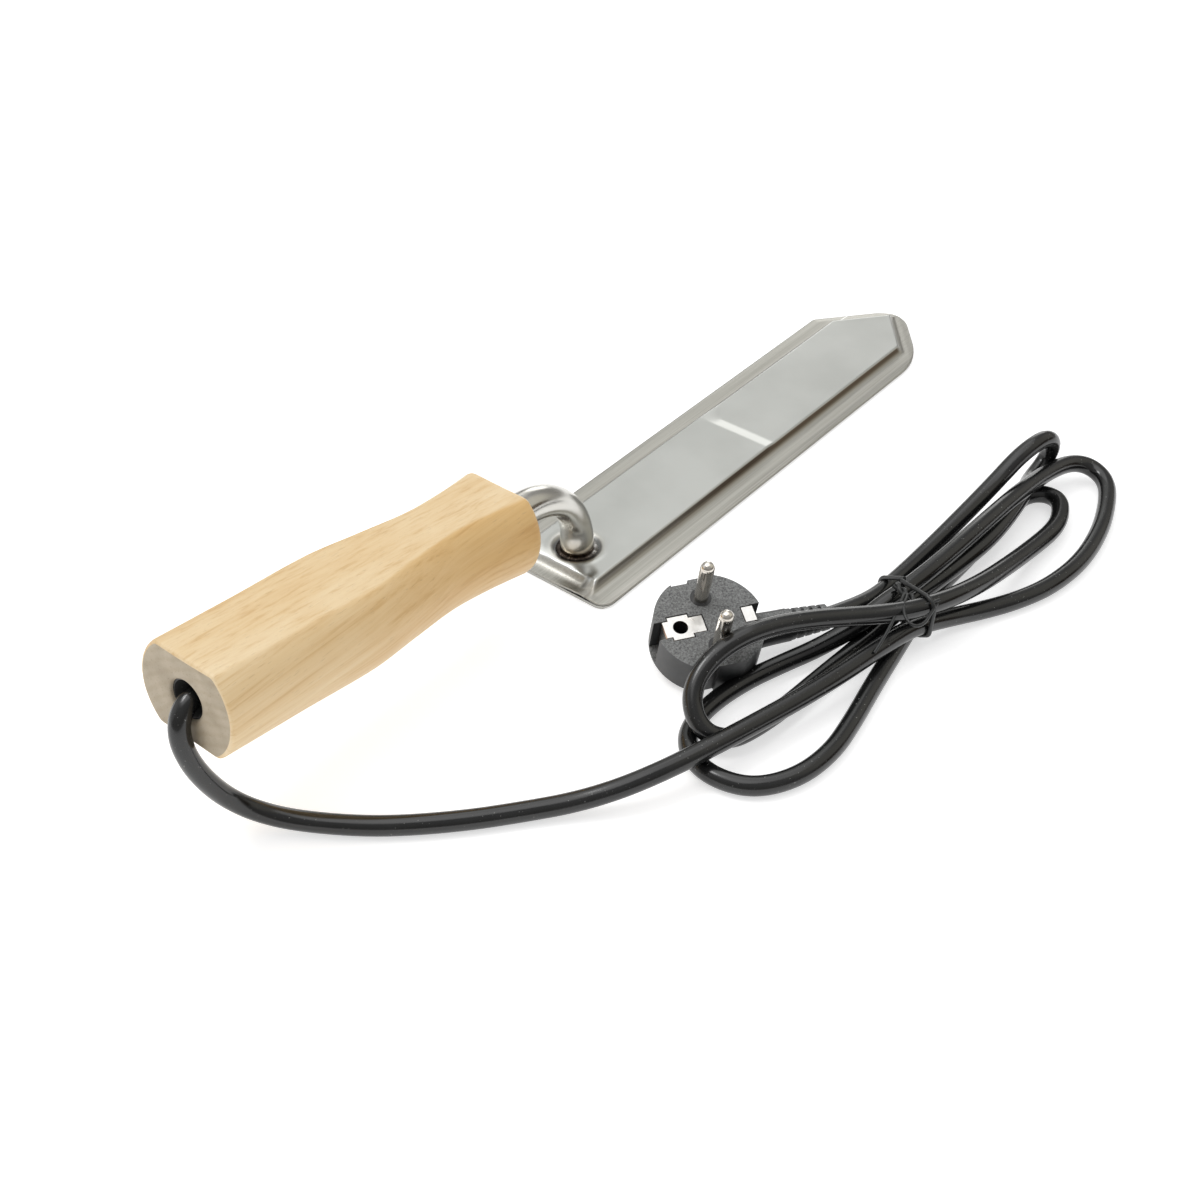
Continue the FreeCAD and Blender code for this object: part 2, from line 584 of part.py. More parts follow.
def band(start, heading, length, width, height):
    """An upright slab on the surface, along a line; its ends are square to the line."""
    across = V(-heading.y, heading.x, 0) * (width / 2)
    base = V(start.x, start.y, 0)
    points = [base - across, base + heading * length - across, base + heading * length + across, base + across]
    return Part.Face(Part.makePolygon(points + points[:1])).extrude(V(0, 0, height))


def outline_prism(points, radius, height):
    return prism(polygon(points, [radius] * len(points)), height)


def make_hank():
    """The folded lead as one closed solid of its outer shape, and the wire tie round its waist."""
    boot_end = plug_point(-BOOT_END, 0, -NECK_DEPTH)
    out_of_plug = (plug_point(-BOOT_END - 1, 0, -NECK_DEPTH) - boot_end).normalize()
    lead_end = boot_end + out_of_plug * HANK_LEAD_LENGTH
    nodes["cord_to_plug"] = Part.makeCylinder(CORD_R, HANK_LEAD_LENGTH, boot_end, out_of_plug)
    across = V(-out_of_plug.y, out_of_plug.x, 0) * WAIST_HALF_W
    low = lead_end - across
    high = lead_end + across
    waist = [(low.x, low.y), (low.x, -124), (36, -125), (36, -96), (high.x, high.y)]
    right = [(30, -126), (55, -141), (82, -148), (108, -148), (134, -141), (147, -127), (146, -112),
             (134, -103), (126, -98), (100, -96.5), (30, -96.5)]
    left = [(5, -122), (-14, -123), (-33, -127), (-52, -129.5), (-70, -128), (-83, -121), (-89, -109),
            (-86.5, -92), (-78, -81), (-67, -77), (-59, -80), (-50, -87.5), (-38, -90.5), (-25, -91.5),
            (-8, -98.5), (5, -105)]
    solid = Part.Face(Part.makePolygon([V(x, y, 0) for x, y in waist + waist[:1]])).extrude(V(0, 0, BUNDLE_H))
    solid = solid.fuse(outline_prism(right, LOOP_EDGE_R, LOOP_H)).fuse(outline_prism(left, LOOP_EDGE_R, LOOP_H))
    # The run that crosses the left loop towards the waist, then the fold that rises at the far right
    run_length, run_width, run_cover = BRIDGING_RUN
    solid = solid.fuse(band(HANK_ENTRY, HANK_HEADING, run_length, run_width, HANK_ENTRY.z + CORD_R + run_cover))
    fold = [V(30, -110, 0), V(30, -110, 13), V(112, -110, 25), V(128, -110, 24), V(130, -110, 0)]
    fold_end = Part.Face(Part.makePolygon(fold + fold[:1])).extrude(V(0, FOLD_WIDTH, 0))
    solid = solid.fuse(fold_end)
    centre = V(*TIE_PLACE, BUNDLE_H / 2 + TIE_R / 2)
    ring_heading = V(0.4, 0.917, 0).normalize()
    half_h = BUNDLE_H / 2 - TIE_R / 2
    corners = [(-1, -1), (1, -1), (1, 1), (-1, 1)]
    points = [centre + ring_heading * (a * TIE_HALF_W) + V(0, 0, b * half_h) for a, b in corners]
    middle = (points[0] + points[3]) * 0.5
    ring = fillet_path([middle] + points + [middle], [TIE_CORNER_R] * 4)
    tie = rod(ring, TIE_R)
    tail_start = centre + V(0, 0, half_h + TIE_R * 0.5)
    tail = Part.makeCylinder(TIE_R, TIE_TAIL_L, tail_start, V(-0.9, -0.35, 0.25))
    tie = tie.fuse(tail).removeSplitter()
    nodes["twist_tie"] = tie
    nodes["cord_hank"] = solid.cut(tie).removeSplitter()


make_blade_base()
make_blade_shell()
make_neck()
make_heater()
make_wires(make_thermostat())
make_handle()
make_cord_entry()
make_cord_lead()
make_plug()
make_hank()

os.makedirs("parts", exist_ok=True)
for name, shape in nodes.items():
    shape.exportStep("parts/%s.step" % name)
    state = "ok" if shape.isValid() else "INVALID"
    box_z = shape.optimalBoundingBox().ZMin
    print("%-22s %s solids %d volume %.1f zmin %.2f" % (name, state, len(shape.Solids), shape.Volume, box_z))
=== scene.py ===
import math

import bmesh
import bpy
from mathutils import Matrix, Vector
from mathutils.noise import noise as lumps


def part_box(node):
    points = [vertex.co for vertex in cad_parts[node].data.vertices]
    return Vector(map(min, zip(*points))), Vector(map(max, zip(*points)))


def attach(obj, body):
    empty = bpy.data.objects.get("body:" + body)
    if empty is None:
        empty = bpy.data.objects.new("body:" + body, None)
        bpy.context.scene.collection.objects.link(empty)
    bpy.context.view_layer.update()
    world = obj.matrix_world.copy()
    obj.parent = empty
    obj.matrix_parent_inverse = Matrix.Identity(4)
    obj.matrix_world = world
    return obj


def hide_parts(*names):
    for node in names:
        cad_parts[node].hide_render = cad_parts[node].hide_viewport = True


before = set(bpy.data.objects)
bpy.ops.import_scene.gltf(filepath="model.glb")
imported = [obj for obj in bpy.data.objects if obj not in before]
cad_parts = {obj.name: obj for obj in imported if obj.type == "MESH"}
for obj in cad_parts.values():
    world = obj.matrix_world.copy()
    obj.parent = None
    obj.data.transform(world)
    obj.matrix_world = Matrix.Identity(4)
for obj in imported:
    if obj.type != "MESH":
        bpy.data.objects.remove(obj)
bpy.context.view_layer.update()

MM = 0.001

# ---------------- camera
CAMERA_AT = (-0.3940, -0.3116, 0.3843)
CAMERA_TURN = (50.22, 0.0, -51.02)
CAMERA_LENS = 52.14
SENSOR_WIDTH = 36.0
CLIP_START = 0.01
cam_data = bpy.data.cameras.new("camera")
cam_data.lens = CAMERA_LENS
cam_data.sensor_width = SENSOR_WIDTH
cam_data.clip_start = CLIP_START
cam = bpy.data.objects.new("camera", cam_data)
cam.location = CAMERA_AT
cam.rotation_euler = [math.radians(a) for a in CAMERA_TURN]
bpy.context.collection.objects.link(cam)
bpy.context.scene.camera = cam
bpy.context.scene.view_settings.view_transform = "Standard"

# ---------------- mains lead
CORD_D = 6.5
LEAD_EXIT = (-184.9, 0, 53.3)
LEAD_RESOLUTION = 12
WIRE_RESOLUTION = 10
CURVE_ORDER = 3
BEVEL_STEPS = 6
# Out of the butt, down to the surface and along it to the folds
LEAD = [
    LEAD_EXIT, (-187.6, 0, 53.6), (-192.1, -0.2, 53.1), (-195.5, -0.8, 50.3), (-197.2, -1.6, 46),
    (-197.4, -2.4, 40.5), (-195.9, -3.3, 33), (-193, -4.4, 25), (-188.7, -5.8, 16.5), (-183.2, -9.8, 9.3),
    (-176.3, -17.5, 4.6), (-166.5, -31.5, 3.4), (-157, -43.5, 3.4), (-143, -57.3, 3.4), (-130, -68, 3.5),
    (-118.5, -78, 4.6), (-108.5, -87, 8), (-98, -93, 10),
]
# Over the left folds to the tie
LEAD += [
    (-86, -97.3, 10.5), (-73, -101, 10.5), (-59, -104.5, 10.2), (-43, -108.3, 10), (-25, -112, 10),
    (-5.5, -115, 10.2), (10.5, -117.5, 9.4),
]
# Outer right fold
LEAD += [
    (27, -122.5, 5.2), (40, -129, 3.5), (52, -135.3, 3.3), (66, -140.2, 3.3), (85, -142.2, 3.3),
    (105.5, -139.2, 3.4), (123, -133.3, 3.3), (133.5, -127.5, 4), (136, -119.5, 6), (130.5, -113.8, 8.2),
    (117.5, -111.3, 10.6), (93, -110.8, 14), (65.5, -111, 15.6), (40, -110, 15), (22, -108, 14),
    (9, -105.5, 13), (-1, -103.2, 9.8),
]
# Outer left fold
LEAD += [
    (-13.5, -96, 4.2), (-26.5, -90.5, 3.3), (-41, -86, 3.3), (-57, -83.7, 3.3), (-71.5, -85.5, 3.3),
    (-80, -93.5, 3.3), (-82.3, -104.5, 3.3), (-78.3, -116.3, 3.3), (-66, -124, 3.3), (-50.5, -126, 3.3),
    (-34.5, -123.5, 3.3), (-16, -119.5, 3.3), (4.5, -115.7, 3.3), (23, -112.2, 3.3), (41.5, -110, 3.3),
    (61, -110, 3.3), (83.5, -108.8, 3.3),
]
# Inner right fold
LEAD += [
    (98, -108, 3.3), (106.3, -107.6, 3.5), (111.6, -112.7, 4.3), (111.2, -119.6, 4.5), (104, -124, 4.4),
    (94, -126.7, 5), (80.5, -126.3, 5.6), (62, -126, 8.5), (42.5, -125.3, 12), (23.5, -123, 16),
    (9.5, -117.5, 17.5), (0, -110.7, 18),
]
# Over the plug's edge and round the inner left fold
LEAD += [
    (-10.5, -103.5, 20), (-21.5, -96, 22), (-34, -89.5, 24), (-47.5, -85, 24.5), (-58, -82.2, 20.5),
    (-66, -83, 15.5), (-70.5, -87.3, 10.8), (-71.5, -93.3, 6.8), (-66, -98.7, 3.8), (-56.5, -101.3, 3.3),
    (-42.5, -103.3, 3.3), (-23.5, -104.3, 3.3), (-6, -105.7, 3.5), (9, -107, 5.5), (22.5, -108.7, 8.4),
]
# Standing fold on the right and back to the plug
LEAD += [
    (36.5, -111.2, 9.4), (51.5, -112.8, 9.5), (69.5, -113.8, 9.5), (90, -111.8, 9.5), (105.5, -108.5, 8.4),
    (114.5, -105.6, 5.4), (124, -105.8, 8), (125.6, -107.2, 15), (121.6, -107.6, 21), (115.5, -106.2, 23),
    (104.5, -104, 21), (93, -102, 15.5), (74.5, -101, 12), (54.5, -100, 9), (36, -99.4, 7.5),
    (20, -98.8, 7.3), (8.3, -96.3, 7.9), (-2.2, -91.9, 8.3),
]


def wire_curve(name, points, diameter, resolution=WIRE_RESOLUTION):
    """A smooth round wire or lead: one NURBS spline with these control points, in millimetres."""
    curve = bpy.data.curves.new(name, "CURVE")
    curve.dimensions = "3D"
    spline = curve.splines.new("NURBS")
    spline.points.add(len(points) - 1)
    for point, place in zip(spline.points, points):
        point.co = (place[0] * MM, place[1] * MM, place[2] * MM, 1)
        point.radius = diameter / 2 * MM
    spline.order_u = CURVE_ORDER
    spline.use_endpoint_u = True
    spline.resolution_u = resolution
    # The points' own radius carries the size, so that the piece's box is right
    curve.bevel_depth = 1.0
    curve.bevel_resolution = BEVEL_STEPS
    curve.use_fill_caps = True
    piece = bpy.data.objects.new(name, curve)
    bpy.context.collection.objects.link(piece)
    return piece


def spline_points(piece):
    """Points along a curve's own line, in millimetres."""
    piece.data.bevel_depth = 0
    mesh = bpy.data.meshes.new_from_object(piece)
    piece.data.bevel_depth = 1.0
    found = [v.co / MM for v in mesh.vertices]
    bpy.data.meshes.remove(mesh)
    return found


lead = wire_curve("mains_lead", LEAD, CORD_D, LEAD_RESOLUTION)
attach(lead, "root")
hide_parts("cord_lead", "cord_hank", "cord_to_plug")

# ---------------- material helpers
# Noise mostly lies between these two values
NOISE_LOW = 0.3
NOISE_HIGH = 0.7


class Shading:
    """The nodes of one material or of the world; owner is its data and place names its coordinates."""

    def __init__(self, owner, place):
        owner.use_nodes = True
        self.tree = owner.node_tree
        self.coords = self.add("ShaderNodeTexCoord").outputs[place]

    def add(self, kind, **settings):
        node = self.tree.nodes.new(kind)
        for key, value in settings.items():
            setattr(node, key, value)
        return node

    def feed(self, socket, value):
        if isinstance(value, bpy.types.NodeSocket):
            self.tree.links.new(value, socket)
        else:
            socket.default_value = value

    def fill(self, node, **inputs):
        """Feeds a node's inputs by name, with _ for a space."""
        for name, value in inputs.items():
            self.feed(node.inputs[name.replace("_", " ")], value)

    def stretched(self, scale, turn=(0, 0, 0), shift=(0, 0, 0)):
        node = self.add("ShaderNodeMapping")
        self.fill(node, Vector=self.coords, Location=shift, Rotation=turn, Scale=scale)
        return node.outputs["Vector"]

    def noise(self, scale, where=None, detail=3.0, rough=0.5, distortion=0.0):
        node = self.add("ShaderNodeTexNoise")
        self.fill(node, Vector=self.coords if where is None else where, Scale=scale, Detail=detail,
                  Roughness=rough, Distortion=distortion)
        return node.outputs["Fac"]

    def streaks(self, scale, turn=(0, 0, 0), **settings):
        """Noise with its own scale along each axis."""
        return self.noise(1.0, self.stretched(scale, turn), **settings)

    def ramp(self, value, *stops):
        node = self.add("ShaderNodeValToRGB")
        self.feed(node.inputs["Fac"], value)
        elements = node.color_ramp.elements
        while len(elements) < len(stops):
            elements.new(0.5)
        for element, (place, colour) in zip(elements, stops):
            element.position = place
            grey = isinstance(colour, (int, float))
            element.color = (colour,) * 3 + (1,) if grey else tuple(colour) + (1,)
        return node.outputs["Color"]

    def span(self, value, low, high, to_low=0.0, to_high=1.0, smooth=True):
        node = self.add("ShaderNodeMapRange")
        node.interpolation_type = "SMOOTHSTEP" if smooth else "LINEAR"
        self.fill(node, Value=value, From_Min=low, From_Max=high, To_Min=to_low, To_Max=to_high)
        return node.outputs["Result"]

    def between(self, noise, low, high):
        """A number that follows the noise from low to high."""
        return self.span(noise, NOISE_LOW, NOISE_HIGH, low, high)

    def blend(self, noise, dark, light):
        """A colour that follows the noise from dark to light."""
        return self.ramp(noise, (NOISE_LOW, dark), (NOISE_HIGH, light))

    def math(self, operation, first, second=0.0):
        node = self.add("ShaderNodeMath", operation=operation)
        self.feed(node.inputs[0], first)
        self.feed(node.inputs[1], second)
        return node.outputs["Value"]

    def times(self, first, second):
        return self.math("MULTIPLY", first, second)

    def plus(self, first, second):
        return self.math("ADD", first, second)

    def band(self, index, rise, fall, low=0.0, high=1.0):
        """From low to high over the span rise along an axis, and off over the span fall, in millimetres."""
        rising = self.span(self.axis(index), rise[0] * MM, rise[1] * MM, low, high)
        falling = self.span(self.axis(index), fall[0] * MM, fall[1] * MM, 1.0, 0.0)
        return self.times(rising, falling)

    def mix(self, share, first, second, blend="MIX"):
        node = self.add("ShaderNodeMix", data_type="RGBA", blend_type=blend)
        self.feed(node.inputs[0], share)
        for socket, value in ((node.inputs[6], first), (node.inputs[7], second)):
            plain = isinstance(value, tuple) and len(value) == 3
            self.feed(socket, value + (1,) if plain else value)
        return node.outputs[2]

    def axis(self, index):
        node = self.add("ShaderNodeSeparateXYZ")
        self.feed(node.inputs[0], self.coords)
        return node.outputs[index]

    def distance(self, centre):
        node = self.add("ShaderNodeVectorMath", operation="DISTANCE")
        self.feed(node.inputs[0], self.coords)
        node.inputs[1].default_value = centre
        return node.outputs["Value"]

    def dot(self, vector, direction):
        node = self.add("ShaderNodeVectorMath", operation="DOT_PRODUCT")
        self.feed(node.inputs[0], vector)
        node.inputs[1].default_value = direction
        return node.outputs["Value"]

    def facing(self, direction):
        """How squarely the surface faces a direction, from -1 to 1."""
        return self.dot(self.add("ShaderNodeNewGeometry").outputs["Normal"], direction)


class Paint(Shading):
    """A Principled material; the keywords are values set on the shader's own sockets."""

    def __init__(self, name, **sockets):
        self.material = bpy.data.materials.new(name)
        super().__init__(self.material, "Object")
        self.shader = self.tree.nodes["Principled BSDF"]
        self.fill(self.shader, **sockets)

    def colour(self, value):
        self.fill(self.shader, Base_Color=value)

    def roughness(self, value):
        self.fill(self.shader, Roughness=value)

    def bump(self, height, strength, depth_mm):
        node = self.add("ShaderNodeBump")
        self.fill(node, Height=height, Strength=strength, Distance=depth_mm * MM)
        before = self.shader.inputs["Normal"]
        if before.is_linked:
            self.tree.links.new(before.links[0].from_socket, node.inputs["Normal"])
        self.feed(before, node.outputs["Normal"])


def mottled(name, dark, light, rough, metallic, scale, relief=0.05):
    """A plain finish with uneven colour, uneven roughness and a fine relief."""
    paint = Paint(name, Metallic=metallic)
    cloud = paint.noise(scale, detail=4)
    paint.colour(paint.blend(cloud, dark, light))
    paint.roughness(paint.between(paint.noise(scale * 0.4), rough * 0.8, rough * 1.2))
    paint.bump(paint.noise(scale * 6), 0.4, relief)
    return paint


def dress(node, paint):
    """Gives a carried-over CAD node its material."""
    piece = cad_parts[node]
    piece.data.materials.clear()
    piece.data.materials.append(paint.material)


# ---------------- mesh helpers


def mesh_piece(name, points, faces, slots=None):
    mesh = bpy.data.meshes.new(name)
    mesh.from_pydata([Vector(p) * MM for p in points], [], faces)
    mesh.polygons.foreach_set("use_smooth", [True] * len(faces))
    if slots is not None:
        mesh.polygons.foreach_set("material_index", slots)
    mesh.update()
    piece = bpy.data.objects.new(name, mesh)
    bpy.context.collection.objects.link(piece)
    return piece


def ring_faces(rings, around):
    """Quads between rings of the same number of points, with the last ring joined to the first."""
    faces = []
    for i in range(rings):
        low = i * around
        high = (i + 1) % rings * around
        for j in range(around):
            k = (j + 1) % around
            faces.append((low + j, low + k, high + k, high + j))
    return faces


def outward(piece):
    """Turns every face of a closed piece to the outside."""
    work = bmesh.new()
    work.from_mesh(piece.data)
    bmesh.ops.recalc_face_normals(work, faces=work.faces)
    work.to_mesh(piece.data)
    work.free()


def smooth_step(x, low, high):
    t = min(max((x - low) / (high - low), 0.0), 1.0)
    return t * t * (3 - 2 * t)


def bell(x, centre, width):
    return math.exp(-((x - centre) / width) ** 2)


# ---------------- main sizes, in millimetres
# The blade's place and size come from the frame
blade_low, blade_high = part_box("blade_base")
REAR_X = blade_low.x / MM
BLADE_HALF = (blade_high.y - blade_low.y) / 2 / MM
BLADE_MIDDLE_Y = (blade_high.y + blade_low.y) / 2 / MM
NECK_FOOT = 17.5
FOOT_X = REAR_X + NECK_FOOT
PITCH = math.radians(6.5)
AXIS = Vector((math.cos(PITCH), 0, -math.sin(PITCH)))
AXIS_UP = Vector((math.sin(PITCH), 0, math.cos(PITCH)))
SIDE = Vector((0, 1, 0))
NECK_CORNER = Vector((FOOT_X, 0, 34.7))
HANDLE_LENGTH = 131.0
NECK_REACH = 40.0
BUTT = NECK_CORNER - AXIS * (NECK_REACH + HANDLE_LENGTH)

# ---------------- blade shell
TIP_APEX = 236.2
NOSE_R = 10.8
REAR_CORNER_R = 5.0
RIGHT_SHOULDER_R = 36.0
LEFT_SHOULDER_R = 2.5
TIP_ANGLE = math.radians(40)
# The shell's rim is pressed down over the base plate, almost to its edge
SHELL_INSET = 0.12
FLANGE_TOP = 2.0
PLATEAU_TOP = 5.2
SHELL_T = 0.78
# How far the raised part's foot and ridge are in from the side, the tip and the rear
FOOT_INSET = (6.9, 4.6, 0.6)
RIDGE_INSET = (9.6, 7.4, 7.0)
STEP_START = 110.3
STEP_END = 115.3
STEP_DROP = 0.6
DISH_R = 9.0
DISH_DEPTH = 0.8
RIDGE_SOFTNESS = 0.05
FOOT_SOFTNESS = 0.26
CORNER_SOFTNESS = 0.09
WALL_POWER = 1.9
# The step's slope grows longer between these distances to the left of the middle plane
STEP_FADE = 9
STEP_FADE_Y = (7.0, 16.0)
# The plateau's crown, and how far its edges lie under the even height
CROWN_RISE = 0.16
CROWN_DROP = 0.10
# Where the dish's wall starts and ends beside its radius, and the lip pushed up round it
DISH_WALL = (-1.4, 0.3)
LIP_OUT = 1.3
LIP_WIDTH = 1.0
LIP_HEIGHT = 0.12
# The flange's droop: depth, reach from the edge, and the stretch from the rear over which it sets in
DROOP = 0.34
DROOP_REACH = 3.5
DROOP_START = (2.0, 12.0)
# The hollow across the rear slope: where its right and left ends fade
HOLLOW_DEPTH = 1.25
HOLLOW_U = 5.2
HOLLOW_WIDTH = 3.2
HOLLOW_RIGHT = (-15.5, -12.5)
HOLLOW_LEFT = (13.0, 16.0)
# The dent beside the right rear corner, slanted across the blade
DENT_DEPTH = 0.35
DENT_U = 9.6
DENT_SLANT = 0.25
DENT_ORIGIN_Y = -13.0
DENT_Y = -12.5
DENT_WIDTH = 2.2
DENT_REACH = 3.0
# The curl of the rear edge
CURL_HEIGHT = 0.70
CURL_Y = -13.5
CURL_WIDTH = 6.5
CURL_REACH = 3.6
UNEVENNESS = 0.05
UNEVEN_SCALE_U = 0.03
UNEVEN_SCALE_Y = 0.05
# Rows and columns of the shell's mesh: packed closely at the rear and at the tip, even between them
REAR_ROWS = 26
REAR_REACH = 7
ROW_STEP = 0.62
TIP_ROWS = 30
TIP_REACH = 9
NOSE_GAP = 0.005
SHELL_COLUMNS = 132
LEAST_HALF_WIDTH = 0.02


def soft_minimum(values, softness):
    lowest = min(values)
    return lowest - softness * math.log(sum(math.exp((lowest - v) / softness) for v in values))


def soft_clamp(p):
    """Rises from 0 to 1, with a wide cove at the foot and a tight bend at the ridge."""
    return (math.hypot(p, FOOT_SOFTNESS) - math.hypot(p - 1, RIDGE_SOFTNESS) + 1) / 2


def shell_height(u, y):
    """Top of the shell; u is measured from the blade's rear edge and y from the knife's middle plane."""
    v = y - BLADE_MIDDLE_Y
    tip = (TIP_APEX - u) * math.sin(TIP_ANGLE) - abs(v) * math.cos(TIP_ANGLE)
    insets = (BLADE_HALF - v, BLADE_HALF + v, tip, u)
    foot = (FOOT_INSET[0], FOOT_INSET[0], FOOT_INSET[1], FOOT_INSET[2])
    ridge = (RIDGE_INSET[0], RIDGE_INSET[0], RIDGE_INSET[1], RIDGE_INSET[2])
    shares = [(d - a) / (b - a) for d, a, b in zip(insets, foot, ridge)]
    # The wall is steepest just under its ridge and runs out into a wide cove
    rise = max(soft_clamp(soft_minimum(shares, CORNER_SOFTNESS)), 0.0) ** WALL_POWER
    # The pressed step is crisp beside the right ridge and fades out before the left one
    step_end = STEP_END + STEP_FADE * smooth_step(y, *STEP_FADE_Y)
    top = PLATEAU_TOP - STEP_DROP * min(max((u - STEP_START) / (step_end - STEP_START), 0.0), 1.0)
    # A shallow crown keeps the plateau from being dead flat
    top += CROWN_RISE * (1 - (v / BLADE_HALF) ** 2) - CROWN_DROP
    away = math.hypot(u - NECK_FOOT, y)
    top -= DISH_DEPTH * (1 - smooth_step(away, DISH_R + DISH_WALL[0], DISH_R + DISH_WALL[1]))
    top += LIP_HEIGHT * bell(away, DISH_R + LIP_OUT, LIP_WIDTH)
    z = FLANGE_TOP + (top - FLANGE_TOP) * rise
    # The flange droops towards the edge, where it meets the base plate
    edge = min(insets[0], insets[1], tip)
    z -= DROOP * (1 - smooth_step(edge, 0.0, DROOP_REACH)) * smooth_step(u, *DROOP_START)
    # The pressed hollow across the rear slope, with a round end beside the right corner
    hollow = smooth_step(y, *HOLLOW_RIGHT) * (1 - smooth_step(y, *HOLLOW_LEFT))
    z -= HOLLOW_DEPTH * bell(u, HOLLOW_U, HOLLOW_WIDTH) * hollow
    # A second dent lies beside the weld, towards the right rear corner
    slanted = u - DENT_U - DENT_SLANT * (y - DENT_ORIGIN_Y)
    z -= DENT_DEPTH * bell(slanted, 0, DENT_WIDTH) * bell(y, DENT_Y, DENT_REACH)
    # The rear edge is not quite flat: it curls up beside the right corner
    z += CURL_HEIGHT * bell(y, CURL_Y, CURL_WIDTH) * (1 - smooth_step(u, 0.0, CURL_REACH))
    # Hand-formed unevenness
    z += UNEVENNESS * lumps(Vector((u * UNEVEN_SCALE_U, y * UNEVEN_SCALE_Y, 0)))
    return z


def half_width(u, shoulder_r):
    """The shell's half width at u, on the side whose shoulder has that radius."""
    half = BLADE_HALF - SHELL_INSET
    slope = math.tan(TIP_ANGLE)
    apex = TIP_APEX - SHELL_INSET / math.sin(TIP_ANGLE)
    # The shoulder is an arc between the long side and the tip's edge
    shoulder_r -= SHELL_INSET
    arc_start = apex - half / slope - shoulder_r * math.tan(TIP_ANGLE / 2)
    arc_end = arc_start + shoulder_r * math.sin(TIP_ANGLE)
    if u < arc_start:
        narrow = half
    elif u < arc_end:
        narrow = half - shoulder_r + math.sqrt(shoulder_r**2 - (u - arc_start) ** 2)
    else:
        narrow = (apex - u) * slope
    # The nose is an arc that both tip edges run into
    nose_r = NOSE_R - SHELL_INSET
    nose_u = apex - nose_r / math.sin(TIP_ANGLE)
    if u > nose_u + nose_r * math.sin(TIP_ANGLE):
        narrow = math.sqrt(max(nose_r**2 - (u - nose_u) ** 2, 0.0))
    # So is each rear corner
    behind = REAR_CORNER_R - (u - SHELL_INSET)
    if behind > 0:
        narrow -= REAR_CORNER_R - math.sqrt(max(REAR_CORNER_R**2 - behind**2, 0.0))
    return max(narrow, LEAST_HALF_WIDTH)


def shell_stations():
    """Distances of the mesh's rows from the rear edge."""
    start = SHELL_INSET
    end = TIP_APEX - NOSE_R / math.sin(TIP_ANGLE) + NOSE_R - SHELL_INSET - NOSE_GAP
    found = [start + REAR_REACH * (1 - math.cos(i / REAR_ROWS * math.pi / 2)) for i in range(REAR_ROWS)]
    even_rows = int((end - start - REAR_REACH - TIP_REACH) / ROW_STEP)
    found += [start + REAR_REACH + i * ROW_STEP for i in range(even_rows)]
    rest = end - found[-1]
    found += [end - rest * (1 - math.sin(i / TIP_ROWS * math.pi / 2)) for i in range(1, TIP_ROWS + 1)]
    return found


def make_shell():
    stations = shell_stations()
    points = []
    for u in stations:
        right = half_width(u, RIGHT_SHOULDER_R)
        left = half_width(u, LEFT_SHOULDER_R)
        for j in range(SHELL_COLUMNS + 1):
            t = 2 * j / SHELL_COLUMNS - 1
            y = BLADE_MIDDLE_Y + t * (right if t < 0 else left)
            points.append((REAR_X + u, y, shell_height(u, y)))
    row = SHELL_COLUMNS + 1
    faces = []
    for i in range(len(stations) - 1):
        for j in range(SHELL_COLUMNS):
            low = i * row + j
            faces.append((low, low + row, low + row + 1, low + 1))
    piece = mesh_piece("blade_skin", points, faces)
    solid = piece.modifiers.new("thickness", "SOLIDIFY")
    solid.thickness = SHELL_T * MM
    solid.offset = -1
    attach(piece, "root")
    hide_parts("blade_shell")
    return piece


# ---------------- neck
TUBE_R = 6.0
BEND_R = 31.0
TUBE_WALL = 1.0
# The straight stretch behind the bend, and where the foot ends above the floor
STRAIGHT_LENGTH = 57.0
FOOT_Z = 3.7
STRAIGHT_RINGS = 24
BEND_RINGS = 96
FOOT_RINGS = 9
NECK_AROUND = 96
# How far the share of the bend counts on below it
FOOT_SHARE = 0.1
# The bend squeezes the tube and flattens its inside, between these shares of the bend
OVAL = 0.25
FLATTENED = 0.35
SQUEEZE_IN = (0.05, 0.4)
SQUEEZE_OUT = (0.85, 1.05)
# The foot is drawn in where it enters the shell
FOOT_PINCH = 0.45
PINCH_FROM = 1.02
PINCH_TO = 1.1


def neck_line():
    """Centre points of the neck with their directions, and how far round the bend each one is."""
    turn = math.pi / 2 - PITCH
    reach = BEND_R * math.tan(turn / 2)
    bend_start = NECK_CORNER - AXIS * reach
    centre = bend_start - AXIS_UP * BEND_R
    found = []
    for i in range(STRAIGHT_RINGS):
        back = STRAIGHT_LENGTH * (1 - i / STRAIGHT_RINGS)
        found.append((bend_start - AXIS * back, AXIS.copy(), -back / BEND_R / turn))
    for i in range(BEND_RINGS + 1):
        a = turn * i / BEND_RINGS
        out = AXIS_UP * math.cos(a) + AXIS * math.sin(a)
        ahead = AXIS * math.cos(a) - AXIS_UP * math.sin(a)
        found.append((centre + out * BEND_R, ahead, i / BEND_RINGS))
    bend_end = found[-1][0]
    for i in range(1, FOOT_RINGS + 1):
        z = bend_end.z - (bend_end.z - FOOT_Z) * i / FOOT_RINGS
        found.append((Vector((FOOT_X, 0, z)), Vector((0, 0, -1)), 1 + i / FOOT_RINGS * FOOT_SHARE))
    return found


# Hollows pressed in by the bending: share of the bend, angle from the outside of the bend, widths along
# and across, and depth; the last one is a bulge
HOLLOWS = (
    (0.50, 150, 0.22, 30, 0.90), (0.82, 126, 0.10, 26, 0.85), (0.72, 176, 0.16, 32, 0.40),
    (0.50, 214, 0.20, 30, 0.80), (0.78, 238, 0.12, 26, 0.70), (0.98, 130, 0.09, 46, -0.30),
)


